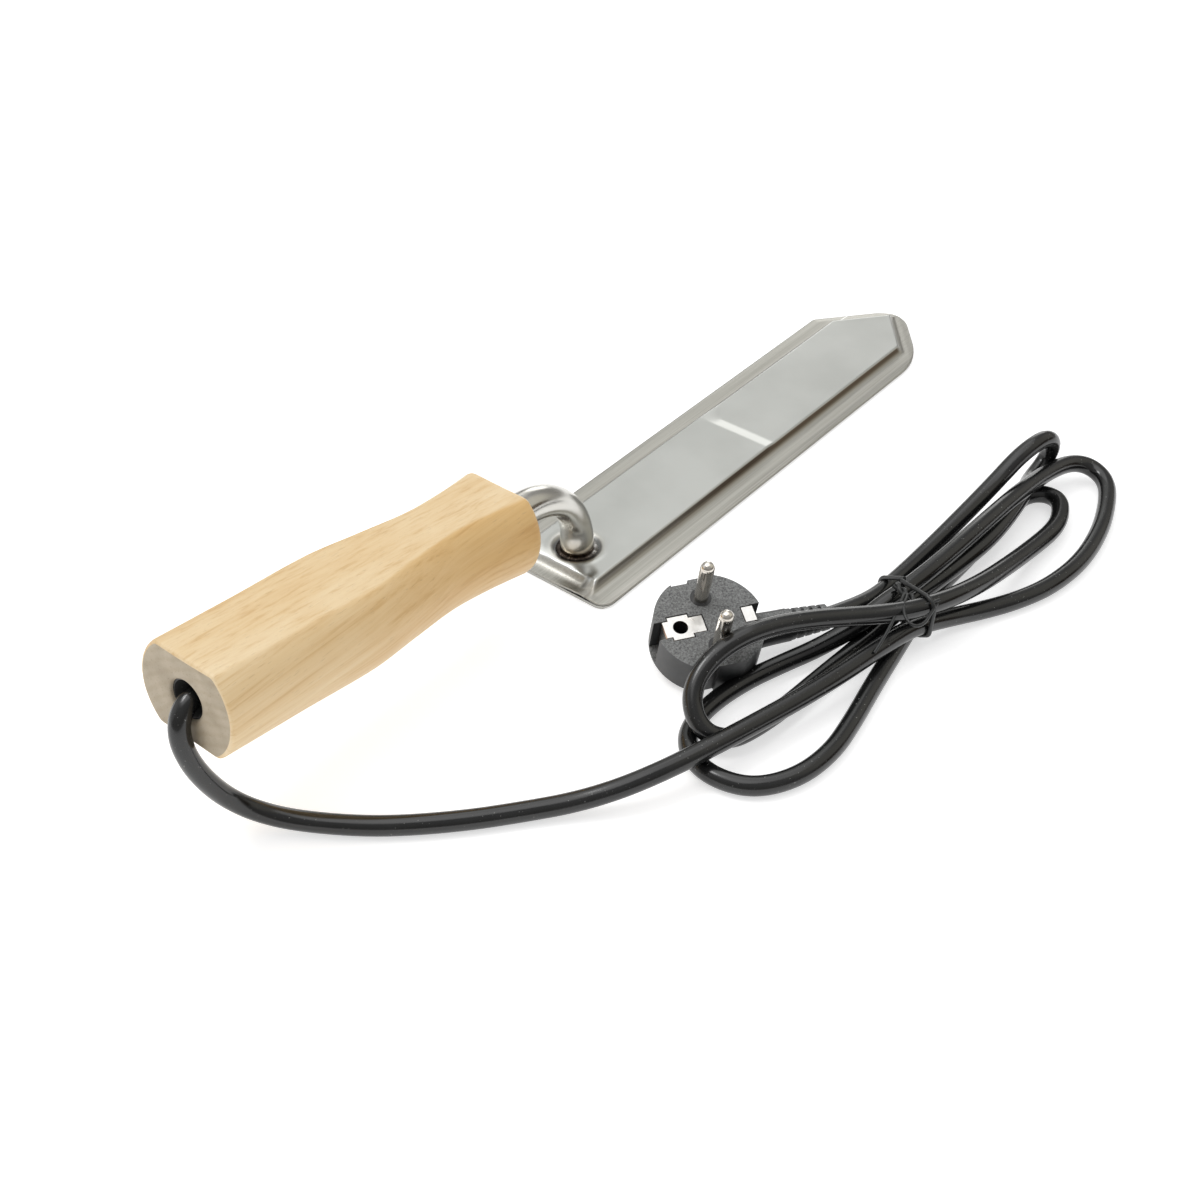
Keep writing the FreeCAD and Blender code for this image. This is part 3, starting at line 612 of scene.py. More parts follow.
def tube_radius(share, degrees):
    bent = smooth_step(share, *SQUEEZE_IN) * (1 - smooth_step(share, *SQUEEZE_OUT))
    a = math.radians(degrees)
    radius = TUBE_R - OVAL * bent * math.cos(2 * a) - FLATTENED * bent * max(-math.cos(a), 0) ** 2
    for place, angle, along, across, depth in HOLLOWS:
        off = (degrees - angle + 180) % 360 - 180
        radius -= depth * bell(share, place, along) * bell(off, 0, across)
    return radius - FOOT_PINCH * smooth_step(share, PINCH_FROM, PINCH_TO)


def make_neck():
    line = neck_line()
    points = []
    # Down the outside of the wall and back up the bore
    for wall, stations in ((0.0, line), (TUBE_WALL, line[::-1])):
        for place, ahead, share in stations:
            out = SIDE.cross(ahead)
            out = out if out.dot(Vector((1, 0, 1))) > 0 else -out
            for j in range(NECK_AROUND):
                degrees = 360 * j / NECK_AROUND
                a = math.radians(degrees)
                # Angle 0 is the outside of the bend and 90 the right side
                direction = out * math.cos(a) - SIDE * math.sin(a)
                points.append(place + direction * (tube_radius(share, degrees) - wall))
    piece = mesh_piece("neck_tube", points, ring_faces(2 * len(line), NECK_AROUND))
    outward(piece)
    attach(piece, "root")
    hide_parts("gooseneck_tube")
    return piece


WELD_AROUND = 180
WELD_PROFILE = 12
WELD_HALF_WIDTH = 1.25
WELD_HALF_HEIGHT = 0.75
# How far the bead's middle stands off the tube, and how far it leans out where it is thicker
WELD_OUT = 0.35
WELD_LEAN = 0.1
# The bead's least share of its full size, and what pools and lumps add to it
WELD_LEAST = 0.86
POOLS = 17
POOL_GAIN = 0.14
POOL_DRIFT = 0.7
DRIFT_WAVES = 3
LUMP_GAIN = 0.22
LUMP_SCALE = 2.1
LUMP_PLACE = 4


def make_weld():
    """A thin run of weld laid round the neck's foot in small overlapping pools."""
    middle_z = PLATEAU_TOP - DISH_DEPTH
    points = []
    for j in range(WELD_AROUND):
        a = 2 * math.pi * j / WELD_AROUND
        pool = POOL_GAIN * abs(math.sin(a * POOLS + POOL_DRIFT * math.sin(a * DRIFT_WAVES)))
        lump = LUMP_GAIN * lumps(Vector((math.cos(a) * LUMP_SCALE, math.sin(a) * LUMP_SCALE, LUMP_PLACE)))
        size = WELD_LEAST + pool + lump
        for k in range(WELD_PROFILE):
            b = 2 * math.pi * k / WELD_PROFILE
            r = TUBE_R + WELD_OUT + (math.cos(b) * WELD_HALF_WIDTH + WELD_LEAN) * size
            z = middle_z + math.sin(b) * WELD_HALF_HEIGHT * size
            points.append((FOOT_X + r * math.cos(a), r * math.sin(a), z))
    piece = mesh_piece("weld_bead", points, ring_faces(WELD_AROUND, WELD_PROFILE))
    outward(piece)
    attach(piece, "root")
    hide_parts("neck_weld")
    return piece


# ---------------- handle
HANDLE_HALF_H = 14.6
BORE_R = 6.5
# Each station: share of the length from the butt, half width, half width of the flats
HANDLE_STATIONS = (
    (0.00, 19.4, 12.4), (0.22, 19.5, 12.8), (0.45, 19.7, 13.6), (0.60, 17.7, 11.4),
    (0.75, 15.9, 9.4), (0.88, 16.9, 10.1), (1.00, 19.0, 12.0),
)
HANDLE_RINGS = 110
SECTION_COUNT = 168
# Points of an outline before it is sanded
RAW_COUNT = 480
# Reach of the sanding on the long edges, and what it gains over the last stretch before the neck
SANDING = 1.5
SANDING_SPREAD = 0.55
FRONT_SANDING = 1.3
FRONT_STRETCH = 16
# The rounded arris at each end: distance from that end, and how far the section is drawn in
BUTT_ROUND = ((0.0, 1.1), (0.12, 0.72), (0.35, 0.38), (0.75, 0.12), (1.3, 0.0))
FRONT_ROUND = ((1.6, 0.0), (0.9, 0.16), (0.4, 0.5), (0.12, 0.95), (0.0, 1.4))
SANDING_WAVE = 0.10
WAVE_SCALE_ALONG = 0.03
WAVE_SCALE_ACROSS = 0.05
# Rings of the end grain, as shares of the way from the bore out, and rings of the bore
END_SHARES = (0.85, 0.6, 0.35, 0.08)
BORE_RINGS = (HANDLE_LENGTH - 0.4, 100.0, 66.0, 33.0, 0.4)


def station_values(share):
    """Half width and flat half width at a share of the length, on smooth curves through the stations."""
    s = HANDLE_STATIONS
    i = max(k for k in range(len(s) - 1) if s[k][0] <= share or k == 0)
    a, b = s[i], s[i + 1]
    before = s[i - 1] if i > 0 else a
    after = s[i + 2] if i + 2 < len(s) else b
    span = b[0] - a[0]
    t = (share - a[0]) / span
    found = []
    for k in (1, 2):
        slope_a = (b[k] - before[k]) / (b[0] - before[0]) * span
        slope_b = (after[k] - a[k]) / (after[0] - a[0]) * span
        found.append((2 * t**3 - 3 * t**2 + 1) * a[k] + (t**3 - 2 * t**2 + t) * slope_a
                     + (3 * t**2 - 2 * t**3) * b[k] + (t**3 - t**2) * slope_b)
    return found


def handle_outline(half, flat, sand):
    """Flat top and bottom with bulging sides; sand is the reach of the sanding on the edges."""
    h = HANDLE_HALF_H
    rise = half - flat
    radius = (h * h + rise * rise) / (2 * rise)
    middle = half - radius
    sweep = math.asin(min(h / radius, 1.0))
    arc = 2 * sweep * radius
    total = 4 * flat + 2 * arc
    raw = []
    for i in range(RAW_COUNT):
        d = total * i / RAW_COUNT
        if d < 2 * flat:
            raw.append((-flat + d, h))
        elif d < 2 * flat + arc:
            a = sweep - (d - 2 * flat) / radius
            raw.append((middle + radius * math.cos(a), radius * math.sin(a)))
        elif d < 4 * flat + arc:
            raw.append((flat - (d - 2 * flat - arc), -h))
        else:
            a = sweep - (d - 4 * flat - arc) / radius
            raw.append((-middle - radius * math.cos(a), -radius * math.sin(a)))
    # Sanding is a weighted mean over the neighbours
    step = total / RAW_COUNT
    reach = max(int(sand / step), 1)
    near = range(-reach, reach + 1)
    weights = [bell(k * step, 0, sand * SANDING_SPREAD) for k in near]
    scale = sum(weights)
    outline = []
    for i in range(SECTION_COUNT):
        c = round(i * RAW_COUNT / SECTION_COUNT)
        sums = [sum(w * raw[(c + k) % RAW_COUNT][axis] for w, k in zip(weights, near)) for axis in (0, 1)]
        outline.append((sums[0] / scale, sums[1] / scale))
    return outline


def handle_places():
    """Distances along the axis, with how far the section is drawn in at each."""
    start = BUTT_ROUND[-1][0]
    end = FRONT_ROUND[0][0]
    places = list(BUTT_ROUND)
    for i in range(1, HANDLE_RINGS):
        places.append((start + (HANDLE_LENGTH - start - end) * i / HANDLE_RINGS, 0.0))
    return places + [(HANDLE_LENGTH - d, inset) for d, inset in FRONT_ROUND]


def handle_point(distance, side, up):
    return BUTT + AXIS * distance - SIDE * side + AXIS_UP * up


def inner_ring(distance, share, inset):
    """A ring between the bore, at share 0, and the drawn-in outline, at share 1."""
    found = []
    for side, up in handle_outline(*station_values(distance / HANDLE_LENGTH), SANDING):
        r = math.hypot(side, up)
        reach = BORE_R + (r - inset - BORE_R) * share
        found.append(handle_point(distance, side / r * reach, up / r * reach))
    return found


def make_handle():
    """The outside from the butt to the front, the front's end grain, the bore and the butt's end grain."""
    places = handle_places()
    points = []
    for distance, inset in places:
        front = smooth_step(distance, HANDLE_LENGTH - FRONT_STRETCH, HANDLE_LENGTH)
        sand = SANDING + FRONT_SANDING * front
        for side, up in handle_outline(*station_values(distance / HANDLE_LENGTH), sand):
            r = math.hypot(side, up)
            share = (r - inset) / r
            # A little unevenness from sanding by hand
            where = (distance * WAVE_SCALE_ALONG, side * WAVE_SCALE_ACROSS, up * WAVE_SCALE_ACROSS)
            share += SANDING_WAVE * lumps(Vector(where)) / r
            points.append(handle_point(distance, side * share, up * share))
    for share in END_SHARES:
        points += inner_ring(HANDLE_LENGTH, share, FRONT_ROUND[-1][1])
    for distance in BORE_RINGS:
        points += inner_ring(distance, 0.0, 0.0)
    for share in END_SHARES[::-1]:
        points += inner_ring(0.0, share, BUTT_ROUND[0][1])
    rings = len(points) // SECTION_COUNT
    outside = len(places) - 1
    slots = [0] * outside * SECTION_COUNT + [1] * (rings - outside) * SECTION_COUNT
    piece = mesh_piece("handle_body", points, ring_faces(rings, SECTION_COUNT), slots)
    outward(piece)
    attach(piece, "root")
    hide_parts("wooden_handle")
    return piece


# ---------------- wire tie
TIE_D = 1.5
TIE_CENTRE = Vector((19.0, -110.0, 0.0))
TIE_HEADING = Vector((0.40, 0.917, 0.0)).normalized()
# How far from its centre the tie holds strands, and how deep it presses into them
TIE_SEARCH = 20
TIE_PRESS = 0.1
TIE_OVER_FLOOR = 0.05
# The two ends are twisted together over the bundle; these heights count from the top of the ring
TWIST_FIRST = Vector((15.6, -106.4, 0.9))
TWIST_LAST = Vector((10.9, -117.6, 1.6))
TWIST_ACROSS = Vector((0.92, -0.38, 0))
TWIST_D = TIE_D * 0.92
TWIST_TURNS = 1.6
TWIST_STEPS = 16
TWIST_HALF_WIDTH = 0.8
TWIST_HALF_HEIGHT = 0.75
# The tails; their heights count from this far above the top of the ring
TAIL_D = TIE_D * 0.72
TAIL_LIFT = 1.2
TAILS = {
    "tie_tail_long": (
        (13.8, -111.2, 0), (11.5, -112.2, 1.0), (7.6, -113.5, 0.9), (2.2, -114.9, 0), (-3.4, -116.0, -1.6),
        (-8.0, -116.5, -3.4), (-12.2, -116.4, -6.0)),
    "tie_tail_loop": (
        (12.6, -112.8, 0.6), (10.0, -114.0, 1.4), (6.4, -115.2, 1.5), (3.0, -117.2, 1.2), (0.6, -120.3, 0.6),
        (0.8, -123.2, 0), (4.3, -124.4, -0.4), (9.6, -123.4, -0.4), (15.6, -122.4, -0.4)),
    "tie_tail_short": ((10.6, -116.9, 0.7), (10.2, -118.2, 0.6), (11.2, -119.9, 0.4), (16.8, -122.6, 0.8)),
}


def hull(points):
    """Corners of the smallest convex outline round 2D points, in order."""
    ordered = sorted(points)

    def half(sequence):
        kept = []
        for p in sequence:
            while len(kept) > 1:
                a, b = kept[-2], kept[-1]
                if (b[0] - a[0]) * (p[1] - a[1]) - (b[1] - a[1]) * (p[0] - a[0]) > 0:
                    break
                kept.pop()
            kept.append(p)
        return kept[:-1]

    return half(ordered) + half(ordered[::-1])


def strand_crossings(normal):
    """Where the lead passes through the tie's plane: place along its heading, and height."""
    line = spline_points(lead)
    found = []
    for a, b in zip(line, line[1:]):
        da = (a - TIE_CENTRE).dot(normal)
        db = (b - TIE_CENTRE).dot(normal)
        if da * db < 0:
            p = a + (b - a) * (da / (da - db))
            along = (p - TIE_CENTRE).dot(TIE_HEADING)
            if abs(along) < TIE_SEARCH:
                found.append((along, p.z))
    return found


def ring_points():
    """One turn round the outside of the strands, which ends one wire's width beside its start."""
    normal = Vector((TIE_HEADING.y, -TIE_HEADING.x, 0))
    reach = CORD_D / 2 + TIE_D / 2 - TIE_PRESS
    lowest = TIE_D / 2 + TIE_OVER_FLOOR
    cloud = []
    for along, z in strand_crossings(normal):
        for degrees in range(0, 360, 10):
            a = math.radians(degrees)
            cloud.append((along + reach * math.cos(a), max(z + reach * math.sin(a), lowest)))
    loop = hull(cloud)
    start = min(range(len(loop)), key=lambda k: -loop[k][1] + abs(loop[k][0]))
    loop = loop[start:] + loop[:start]
    ring = [TIE_CENTRE + TIE_HEADING * a + Vector((0, 0, z)) for a, z in loop]
    last = len(ring) - 1
    return [p + normal * (TIE_D * (i / last - 0.5)) for i, p in enumerate(ring)]


def twist_points(top, phase):
    """One of the two twisted strands."""
    lift = Vector((0, 0, top))
    found = []
    for i in range(TWIST_STEPS + 1):
        t = i / TWIST_STEPS
        a = 2 * math.pi * TWIST_TURNS * t + phase
        sideways = TWIST_ACROSS * math.cos(a) * TWIST_HALF_WIDTH
        middle = (TWIST_FIRST + lift).lerp(TWIST_LAST + lift, t)
        found.append(tuple(middle + sideways + Vector((0, 0, TWIST_HALF_HEIGHT * math.sin(a)))))
    return found


def make_tie():
    """The ring follows the outside of the strands that it holds; the tails lie as they were twisted."""
    ring = ring_points()
    top = ring[0].z
    pieces = [wire_curve("tie_ring", [tuple(p) for p in ring], TIE_D)]
    for side in (0, 1):
        pieces.append(wire_curve("tie_twist_%d" % side, twist_points(top, math.pi * side), TWIST_D))
    for name, points in TAILS.items():
        raised_points = [(x, y, top + TAIL_LIFT + z) for x, y, z in points]
        pieces.append(wire_curve(name, raised_points, TAIL_D))
    for piece in pieces:
        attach(piece, "root")
    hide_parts("twist_tie")
    return pieces


# ---------------- build the pieces
shell = make_shell()
neck = make_neck()
weld = make_weld()
handle = make_handle()
tie = make_tie()

# ---------------- materials
FOOT_PLACE = Vector((FOOT_X, 0, PLATEAU_TOP)) * MM
# The shell's steel turns from the brushed flange to the satin plateau between these heights
RAISED_Z = (3.6, 4.5)
RIGHT_RIDGE = BLADE_MIDDLE_Y - BLADE_HALF + RIDGE_INSET[0]
LEFT_RIDGE = BLADE_MIDDLE_Y + BLADE_HALF - RIDGE_INSET[0]
# How far the brown line of painted shade runs along the right ridge
SHADE_LINE_LENGTH = 205.5
SHADE_LINE_END = REAR_X + SHADE_LINE_LENGTH
# The grain follows the handle's axis, and the year rings have their centre outside the wood
WOOD_TURN = (0, -PITCH, 0)
PITH = (0, 0.030, 0.020)
# The side that is darkened with painted shade
SHADED_SIDE = Vector((0.1, -0.9, 0.3)).normalized()


def brushed_steel():
    """Brushed flange, satin plateau, a ring of painted shade round the weld, a brown line of painted shade
    under the right ridge and a painted highlight on the left ridge.
    """
    paint = Paint("brushed_steel", Metallic=1.0)
    brushing = paint.streaks((12, 2100, 2100), detail=5, rough=0.6)
    scratches = paint.streaks((40, 4200, 900), detail=2)
    cloud = paint.noise(38.0, detail=4)
    raised = paint.span(paint.axis(2), RAISED_Z[0] * MM, RAISED_Z[1] * MM)
    flange = paint.ramp(brushing, (0.28, (0.34, 0.33, 0.295)), (0.5, (0.42, 0.41, 0.375)),
                        (0.72, (0.50, 0.49, 0.455)))
    satin = paint.ramp(cloud, (0.35, (0.50, 0.505, 0.485)), (0.65, (0.545, 0.55, 0.53)))
    colour = paint.mix(raised, flange, satin)
    # Painted shade: a dark ring round the weld's foot, fading out by 12 mm
    away = paint.span(paint.distance(FOOT_PLACE), 7.4 * MM, 12 * MM, smooth=False)
    weld_ring_shade = paint.ramp(away, (0.0, (0.10, 0.09, 0.085)), (0.16, (0.42, 0.42, 0.43)),
                       (0.34, (0.95, 0.92, 0.88)), (0.8, 1.0))
    colour = paint.mix(0.9, colour, weld_ring_shade, "MULTIPLY")
    # A brown line of painted shade runs just under the right ridge, and the left ridge has a painted
    # highlight
    along = paint.band(0, (-30, 50), (SHADE_LINE_END - 2, SHADE_LINE_END), 0.25, 0.85)
    under = paint.band(1, (RIGHT_RIDGE - 2.2, RIGHT_RIDGE - 0.7), (RIGHT_RIDGE - 0.35, RIGHT_RIDGE + 0.05))
    colour = paint.mix(paint.times(along, under), colour, (0.105, 0.068, 0.036))
    # Painted highlight: a bright line along the left ridge
    ridge_highlight = paint.band(1, (LEFT_RIDGE - 0.5, LEFT_RIDGE - 0.25), (LEFT_RIDGE, LEFT_RIDGE + 0.25), 0.0, 0.7)
    paint.colour(paint.mix(ridge_highlight, colour, (0.86, 0.87, 0.87)))
    streak = paint.times(brushing, paint.span(raised, 0, 1, 1.0, 0.16))
    paint.roughness(paint.plus(paint.span(streak, 0.1, 0.8, 0.26, 0.42), paint.times(cloud, 0.05)))
    paint.bump(streak, 0.20, 0.03)
    paint.bump(paint.times(scratches, paint.span(raised, 0, 1, 0.6, 0.2)), 0.10, 0.02)
    return paint


def plate_steel():
    paint = Paint("plate_steel", Metallic=1.0)
    grind = paint.streaks((25, 1600, 2400), detail=4)
    paint.colour(paint.blend(grind, (0.30, 0.295, 0.275), (0.46, 0.455, 0.43)))
    paint.roughness(paint.between(grind, 0.22, 0.42))
    paint.bump(grind, 0.25, 0.03)
    return paint


def polished_tube():
    """Polished by hand, a little uneven, with the colours of heat at the foot."""
    paint = Paint("neck_polished", Metallic=1.0)
    smear = paint.noise(60.0, detail=4, distortion=0.4)
    fine = paint.streaks((900, 90, 900), detail=3)
    height = paint.span(paint.axis(2), 4.2 * MM, 13 * MM, smooth=False)
    heat = paint.ramp(height, (0.0, (0.22, 0.17, 0.14)), (0.18, (0.62, 0.52, 0.42)),
                      (0.5, (0.92, 0.88, 0.81)), (0.9, 1.0))
    colour = paint.blend(smear, (0.535, 0.52, 0.48), (0.64, 0.63, 0.595))
    paint.colour(paint.mix(1.0, colour, heat, "MULTIPLY"))
    paint.roughness(paint.plus(paint.between(smear, 0.12, 0.22), paint.times(fine, 0.08)))
    paint.bump(fine, 0.10, 0.02)
    paint.bump(paint.noise(110.0, detail=1), 0.16, 0.06)
    return paint


def burnt_weld():
    paint = Paint("weld_burnt", Metallic=0.85)
    burn = paint.noise(380.0, detail=5)
    beads = paint.ramp(burn, (0.30, (0.08, 0.070, 0.062)), (0.50, (0.26, 0.25, 0.24)),
                       (0.70, (0.62, 0.61, 0.59)))
    # Painted shade: the side away from the tip is darkened
    forward = paint.span(paint.axis(0), (FOOT_X - 3.0) * MM, (FOOT_X + 5.0) * MM)
    rear_shade = paint.ramp(forward, (0.0, (0.13, 0.10, 0.08)), (1.0, 1.0))
    paint.colour(paint.mix(1.0, beads, rear_shade, "MULTIPLY"))
    paint.roughness(paint.between(burn, 0.50, 0.24))
    paint.bump(paint.noise(900.0, detail=3), 0.3, 0.08)
    return paint


def birch():
    """Pale lacquered wood: broad tones, grain lines, a flame figure, pores and painted shade on one side."""
    paint = Paint("handle_birch", Coat_Weight=0.10, Coat_Roughness=0.28)
    broad = paint.streaks((5, 48, 60), WOOD_TURN, detail=3, distortion=0.5)
    grain = paint.streaks((11, 620, 760), WOOD_TURN, detail=4, rough=0.6, distortion=0.3)
    pores = paint.streaks((230, 3000, 3000), WOOD_TURN, detail=2)
    figure = paint.noise(30.0, detail=3, distortion=0.8)
    colour = paint.ramp(broad, (0.30, (0.67, 0.465, 0.235)), (0.5, (0.745, 0.565, 0.325)),
                        (0.70, (0.80, 0.65, 0.425)))
    lines = paint.ramp(grain, (0.32, (0.82, 0.71, 0.56)), (0.44, (0.95, 0.91, 0.85)), (0.58, 1.0))
    colour = paint.mix(0.75, colour, lines, "MULTIPLY")
    flame = paint.ramp(figure, (0.36, (0.965, 0.93, 0.87)), (0.62, 1.0))
    colour = paint.mix(0.7, colour, flame, "MULTIPLY")
    # Painted shade, darker and warmer: on the right side, towards the neck
    side_shade = paint.times(paint.span(paint.axis(0), -165 * MM, -85 * MM, 0.25, 1.0),
                       paint.span(paint.facing(SHADED_SIDE), 0.25, 0.75))
    colour = paint.mix(side_shade, colour, (0.93, 0.80, 0.58), "MULTIPLY")
    paint.colour(paint.mix(paint.span(pores, 0.62, 0.74, 0.0, 0.30), colour, (0.36, 0.23, 0.12)))
    paint.roughness(paint.plus(paint.between(grain, 0.46, 0.36), paint.times(broad, 0.06)))
    paint.bump(grain, 0.10, 0.05)
    paint.bump(pores, 0.10, 0.04)
    return paint


def end_grain():
    """Sawn end of the handle: year rings, blotches and dark flecks."""
    paint = Paint("handle_end_grain", Roughness=0.62)
    wave = paint.add("ShaderNodeTexWave", wave_type="RINGS", rings_direction="X")
    paint.fill(wave, Vector=paint.stretched((1, 1, 1), WOOD_TURN, PITH), Scale=95.0, Distortion=2.6,
               Detail=3.0, Detail_Scale=2.0)
    saw = paint.streaks((2600, 2600, 300), detail=3)
    blotch = paint.noise(110.0, detail=5)
    colour = paint.blend(blotch, (0.38, 0.315, 0.225), (0.52, 0.445, 0.335))
    rings = paint.ramp(wave.outputs["Fac"], (0.0, (0.90, 0.87, 0.83)), (0.7, 1.0))
    colour = paint.mix(0.6, colour, rings, "MULTIPLY")
    fleck = paint.span(paint.noise(1700.0, detail=2), 0.62, 0.72, 0.0, 0.4)
    paint.colour(paint.mix(fleck, colour, (0.20, 0.14, 0.09)))
    paint.bump(saw, 0.25, 0.08)
    paint.bump(blotch, 0.15, 0.10)
    return paint


shell.data.materials.append(brushed_steel().material)
dress("blade_base", plate_steel())
neck.data.materials.append(polished_tube().material)
weld.data.materials.append(burnt_weld().material)
handle.data.materials.append(birch().material)
handle.data.materials.append(end_grain().material)


def rubbery(name, dark, light, rough, dust=0.10, **sockets):
    """Soft black plastic: cloudy gloss, a fine skin and a few grains of dust."""
    paint = Paint(name, **sockets)
    skin = paint.noise(140.0, detail=4)
    grains = paint.span(paint.noise(1500.0, detail=0), 0.80, 0.83, 0.0, dust)
    paint.colour(paint.mix(grains, paint.blend(skin, dark, light), (0.55, 0.55, 0.53)))
    paint.roughness(paint.between(paint.noise(70.0, detail=3), rough * 0.85, rough * 1.2))
    paint.bump(paint.noise(2600.0, detail=2), 0.10, 0.03)
    paint.bump(paint.noise(90.0, detail=2), 0.12, 0.15)
    return paint


pvc = rubbery("lead_pvc", (0.0048, 0.0050, 0.0050), (0.0080, 0.0083, 0.0083), 0.20, 0.22,
              Specular_IOR_Level=0.62)
lead.data.materials.append(pvc.material)
dress("cord_inlet", pvc)
bush_plastic = rubbery("bush_plastic", (0.020, 0.020, 0.019), (0.034, 0.034, 0.032), 0.42)
dress("cable_bush", bush_plastic)
tie_plastic = rubbery("tie_plastic", (0.012, 0.013, 0.013), (0.024, 0.025, 0.025), 0.46)
for piece in tie:
    piece.data.materials.append(tie_plastic.material)

# The direction in which the plug's pins point
YAW = math.radians(146)
TILT = math.radians(17)
PIN_AXIS = Matrix.Rotation(YAW, 3, "Z") @ Matrix.Rotation(-TILT, 3, "X") @ Vector((0, 0, 1))
# The middle of the plug's round face
PLUG_FACE = Vector((-39.9, -70.7, 20.0)) * MM
FACE_LEVEL = PLUG_FACE.dot(PIN_AXIS)


def plug_moulding():
    """Smooth black sides and an etched grey face."""
    paint = Paint("plug_moulding")
    front = paint.span(paint.facing(PIN_AXIS), 0.80, 0.92)
    etch = paint.noise(1500.0, detail=3, rough=0.7)
    soft = paint.noise(130.0, detail=3)
    face = paint.ramp(etch, (0.34, (0.062, 0.063, 0.063)), (0.66, (0.245, 0.250, 0.246)))
    side = paint.blend(soft, (0.013, 0.0135, 0.014), (0.026, 0.027, 0.028))
    paint.colour(paint.mix(front, side, face))
    paint.roughness(paint.span(front, 0, 1, 0.42, 0.62))
    paint.bump(paint.times(etch, paint.span(front, 0, 1, 0.12, 1.0)), 0.7, 0.12)
    paint.bump(soft, 0.10, 0.10)
    return paint


def pin_nickel():
    paint = Paint("pin_nickel", Metallic=1.0)
    drawn = paint.streaks((1800, 1800, 160), detail=3)
    paint.colour(paint.blend(paint.noise(260.0, detail=4), (0.60, 0.56, 0.50), (0.76, 0.73, 0.68)))
    paint.roughness(paint.between(drawn, 0.10, 0.24))
    paint.bump(drawn, 0.10, 0.02)
    return paint


def earth_contact():
    """Tinned strip: bright flat faces, and edges that are copper-coloured near the plug's face and dark with
    painted shade deeper in the plug.
    """
    paint = Paint("earth_contact", Metallic=1.0)
    flat = paint.span(paint.math("ABSOLUTE", paint.facing(PIN_AXIS)), 0.55, 0.85)
    outer = paint.span(paint.dot(paint.coords, PIN_AXIS), FACE_LEVEL - 1.6 * MM, FACE_LEVEL - 1.2 * MM)
    stamp = paint.noise(420.0, detail=4)
    tinned = paint.blend(stamp, (0.62, 0.61, 0.59), (0.76, 0.75, 0.73))
    # Painted shade: the edges deeper than the copper band are dark
    edges = paint.mix(outer, (0.10, 0.097, 0.094), (0.62, 0.38, 0.24))
    paint.colour(paint.mix(flat, edges, tinned))
    paint.roughness(paint.between(stamp, 0.26, 0.40))
    paint.bump(stamp, 0.15, 0.05)
    return paint


moulding = plug_moulding()
dress("plug_body", moulding)
dress("plug_boot", moulding)
insert = mottled("plug_insert_nylon", (0.018, 0.018, 0.019), (0.034, 0.035, 0.036), 0.45, 0.0, 500, 0.04)
dress("plug_bridge", insert)
dress("plug_pins", pin_nickel())
dress("plug_earth_clip", earth_contact())

# What lies inside: material, dark and light colour, roughness, metallic, scale of the mottling, nodes
INNER = (
    ("mica_sheet", (0.42, 0.36, 0.27), (0.62, 0.56, 0.45), 0.35, 0.0, 220,
     ("mica_lower", "heater_card", "mica_upper")),
    ("heater_alloy", (0.34, 0.31, 0.28), (0.50, 0.47, 0.43), 0.35, 1.0, 300, ("heater_ribbon",)),
    ("terminal_brass", (0.62, 0.46, 0.20), (0.80, 0.62, 0.30), 0.3, 1.0, 300,
     ("heater_terminals", "thermostat_terminals")),
    ("thermostat_case", (0.24, 0.23, 0.21), (0.36, 0.35, 0.33), 0.4, 0.6, 300, ("thermostat",)),
    ("sleeve_brown", (0.11, 0.045, 0.02), (0.17, 0.075, 0.035), 0.5, 0.0, 300,
     ("link_wire", "wire_live", "cord_cores")),
    ("sleeve_blue", (0.02, 0.08, 0.28), (0.035, 0.12, 0.40), 0.5, 0.0, 300, ("wire_neutral",)),
    ("sleeve_green", (0.10, 0.30, 0.03), (0.55, 0.50, 0.04), 0.5, 0.0, 90, ("wire_earth",)),
    ("tinned_steel", (0.55, 0.54, 0.52), (0.72, 0.71, 0.69), 0.32, 1.0, 300,
     ("earth_lug", "crimp_splices", "cord_grip")),
    ("bond_epoxy", (0.10, 0.085, 0.06), (0.17, 0.145, 0.10), 0.45, 0.0, 300, ("tube_bond",)),
)
for name, dark, light, rough, metallic, scale, nodes in INNER:
    paint = mottled(name, dark, light, rough, metallic, scale)
    for node in nodes:
        dress(node, paint)

# ---------------- floor and light
FLOOR_HALF = 4.0
FLOOR_DROP = 0.0002
corners = [(x * FLOOR_HALF, y * FLOOR_HALF, 0) for x, y in ((-1, -1), (1, -1), (1, 1), (-1, 1))]
floor_mesh = bpy.data.meshes.new("floor")
floor_mesh.from_pydata(corners, [], [(0, 1, 2, 3)])
floor = bpy.data.objects.new("floor", floor_mesh)
bpy.context.collection.objects.link(floor)
floor.location.z = -FLOOR_DROP
ground = Paint("floor_paper", Roughness=0.9, Emission_Color=(1, 1, 1, 1), Emission_Strength=0.56)
ground.colour(ground.blend(ground.noise(3.0), 0.72, 0.74))
floor.data.materials.append(ground.material)

world = bpy.data.worlds.new("studio")
bpy.context.scene.world = world
sky = Shading(world, "Generated")


def lobe(towards, low, high):
    """1 near a direction and 0 away from it."""
    return sky.span(sky.dot(sky.coords, Vector(towards).normalized()), low, high)


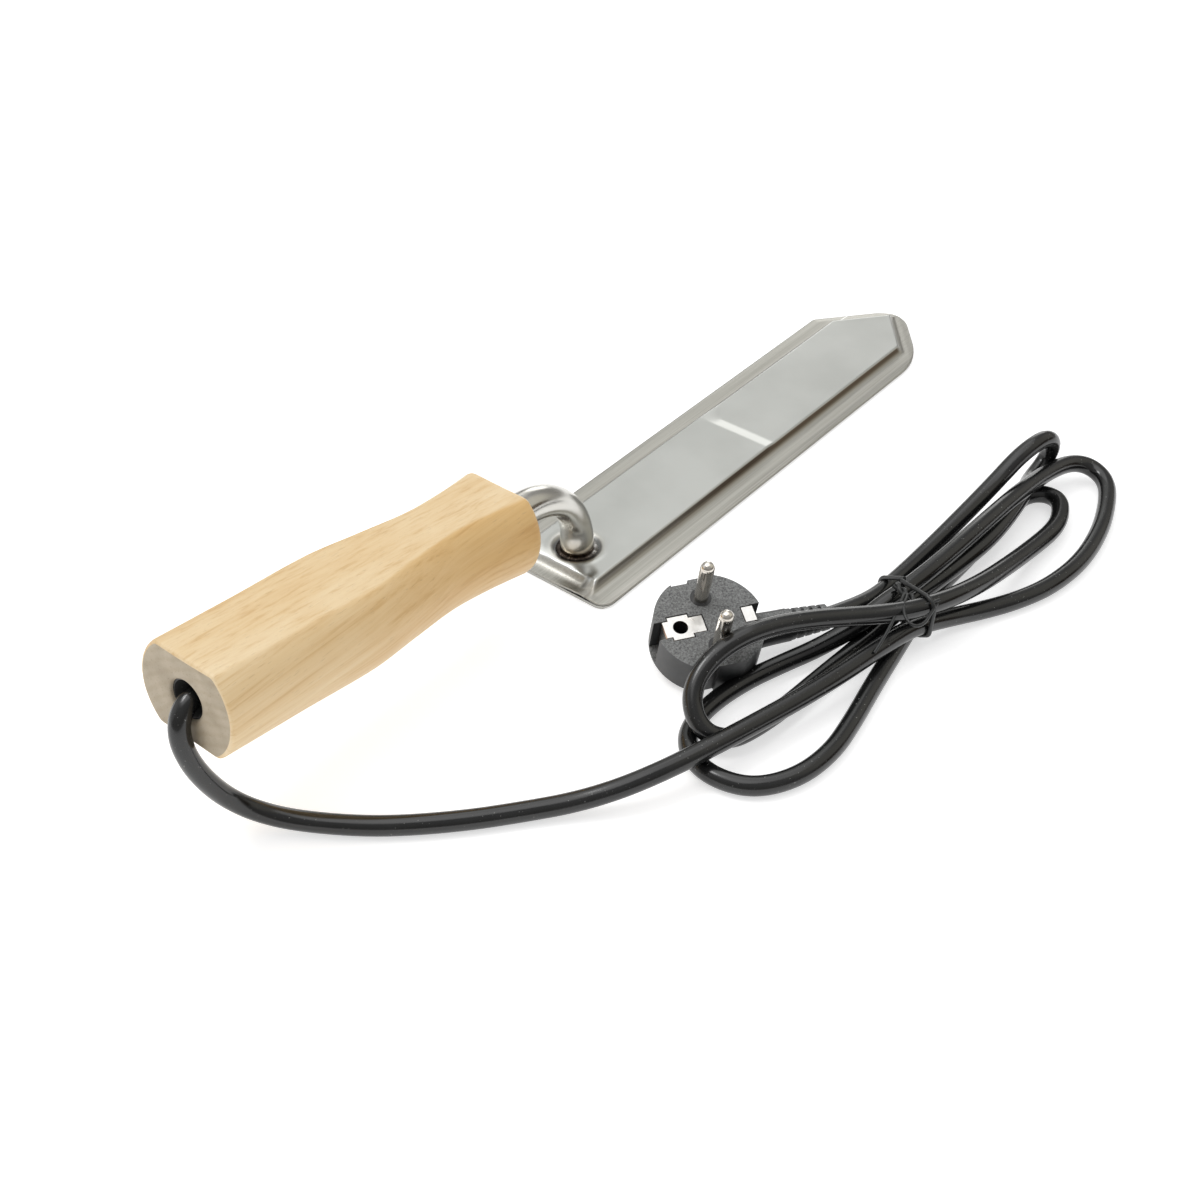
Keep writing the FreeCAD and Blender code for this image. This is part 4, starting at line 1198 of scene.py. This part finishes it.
# What shiny things mirror: a dim room with white panels round it and a dark patch low on the right
ROOM_LOW = (0.27, 0.26, 0.245)
ROOM_HIGH = (0.46, 0.46, 0.46)
# Each panel: its direction, the cosines at which it starts and is full, and its tone
PANELS = (
    ((-0.15, 0.15, 1.0), 0.88, 0.97, (1.05, 1.05, 1.05)),
    ((0.46, 0.58, 0.67), 0.87, 0.985, (0.83, 0.84, 0.82)),
    ((0.84, 0.48, 0.25), 0.970, 0.988, (2.3, 2.3, 2.26)),
    ((-0.55, 0.75, 0.35), 0.82, 0.95, (0.85, 0.85, 0.85)),
    ((0.60, -0.52, 0.60), 0.80, 0.96, (0.72, 0.70, 0.63)),
    ((0.60, -0.82, 0.02), 0.925, 0.975, (0.080, 0.050, 0.026)),
)
# What lights everything else, evenly from all round
EVEN_LIGHT = (0.60, 0.60, 0.60, 1)
overhead = lobe((0, 0, 1), 0.0, 0.9)
room = sky.mix(overhead, ROOM_LOW, ROOM_HIGH)
for towards, low, high, tone in PANELS:
    room = sky.mix(lobe(towards, low, high), room, tone)
even = sky.add("ShaderNodeRGB").outputs[0]
even.default_value = EVEN_LIGHT
mirrored = sky.add("ShaderNodeLightPath").outputs["Is Glossy Ray"]
background = sky.tree.nodes["Background"]
sky.fill(background, Color=sky.mix(mirrored, even, room), Strength=1.0)


def softbox(name, place, aim, size, share):
    """share is how bright it alone makes a white sheet at the place it aims at."""
    data = bpy.data.lights.new(name, "AREA")
    data.shape = "RECTANGLE"
    data.size, data.size_y = size
    data.energy = share * (math.pi * (Vector(aim) - Vector(place)).length) ** 2
    lamp = bpy.data.objects.new(name, data)
    lamp.location = place
    lamp.rotation_euler = (Vector(aim) - Vector(place)).to_track_quat("-Z", "Y").to_euler()
    bpy.context.collection.objects.link(lamp)


TABLE_MIDDLE = (0, -0.05, 0)
softbox("top_softbox", (0.1, 0.2, 1.5), TABLE_MIDDLE, (1.8, 1.8), 0.45)
softbox("key_softbox", (-0.35, 0.45, 1.1), TABLE_MIDDLE, (0.40, 0.30), 0.20)

bpy.context.view_layer.update()
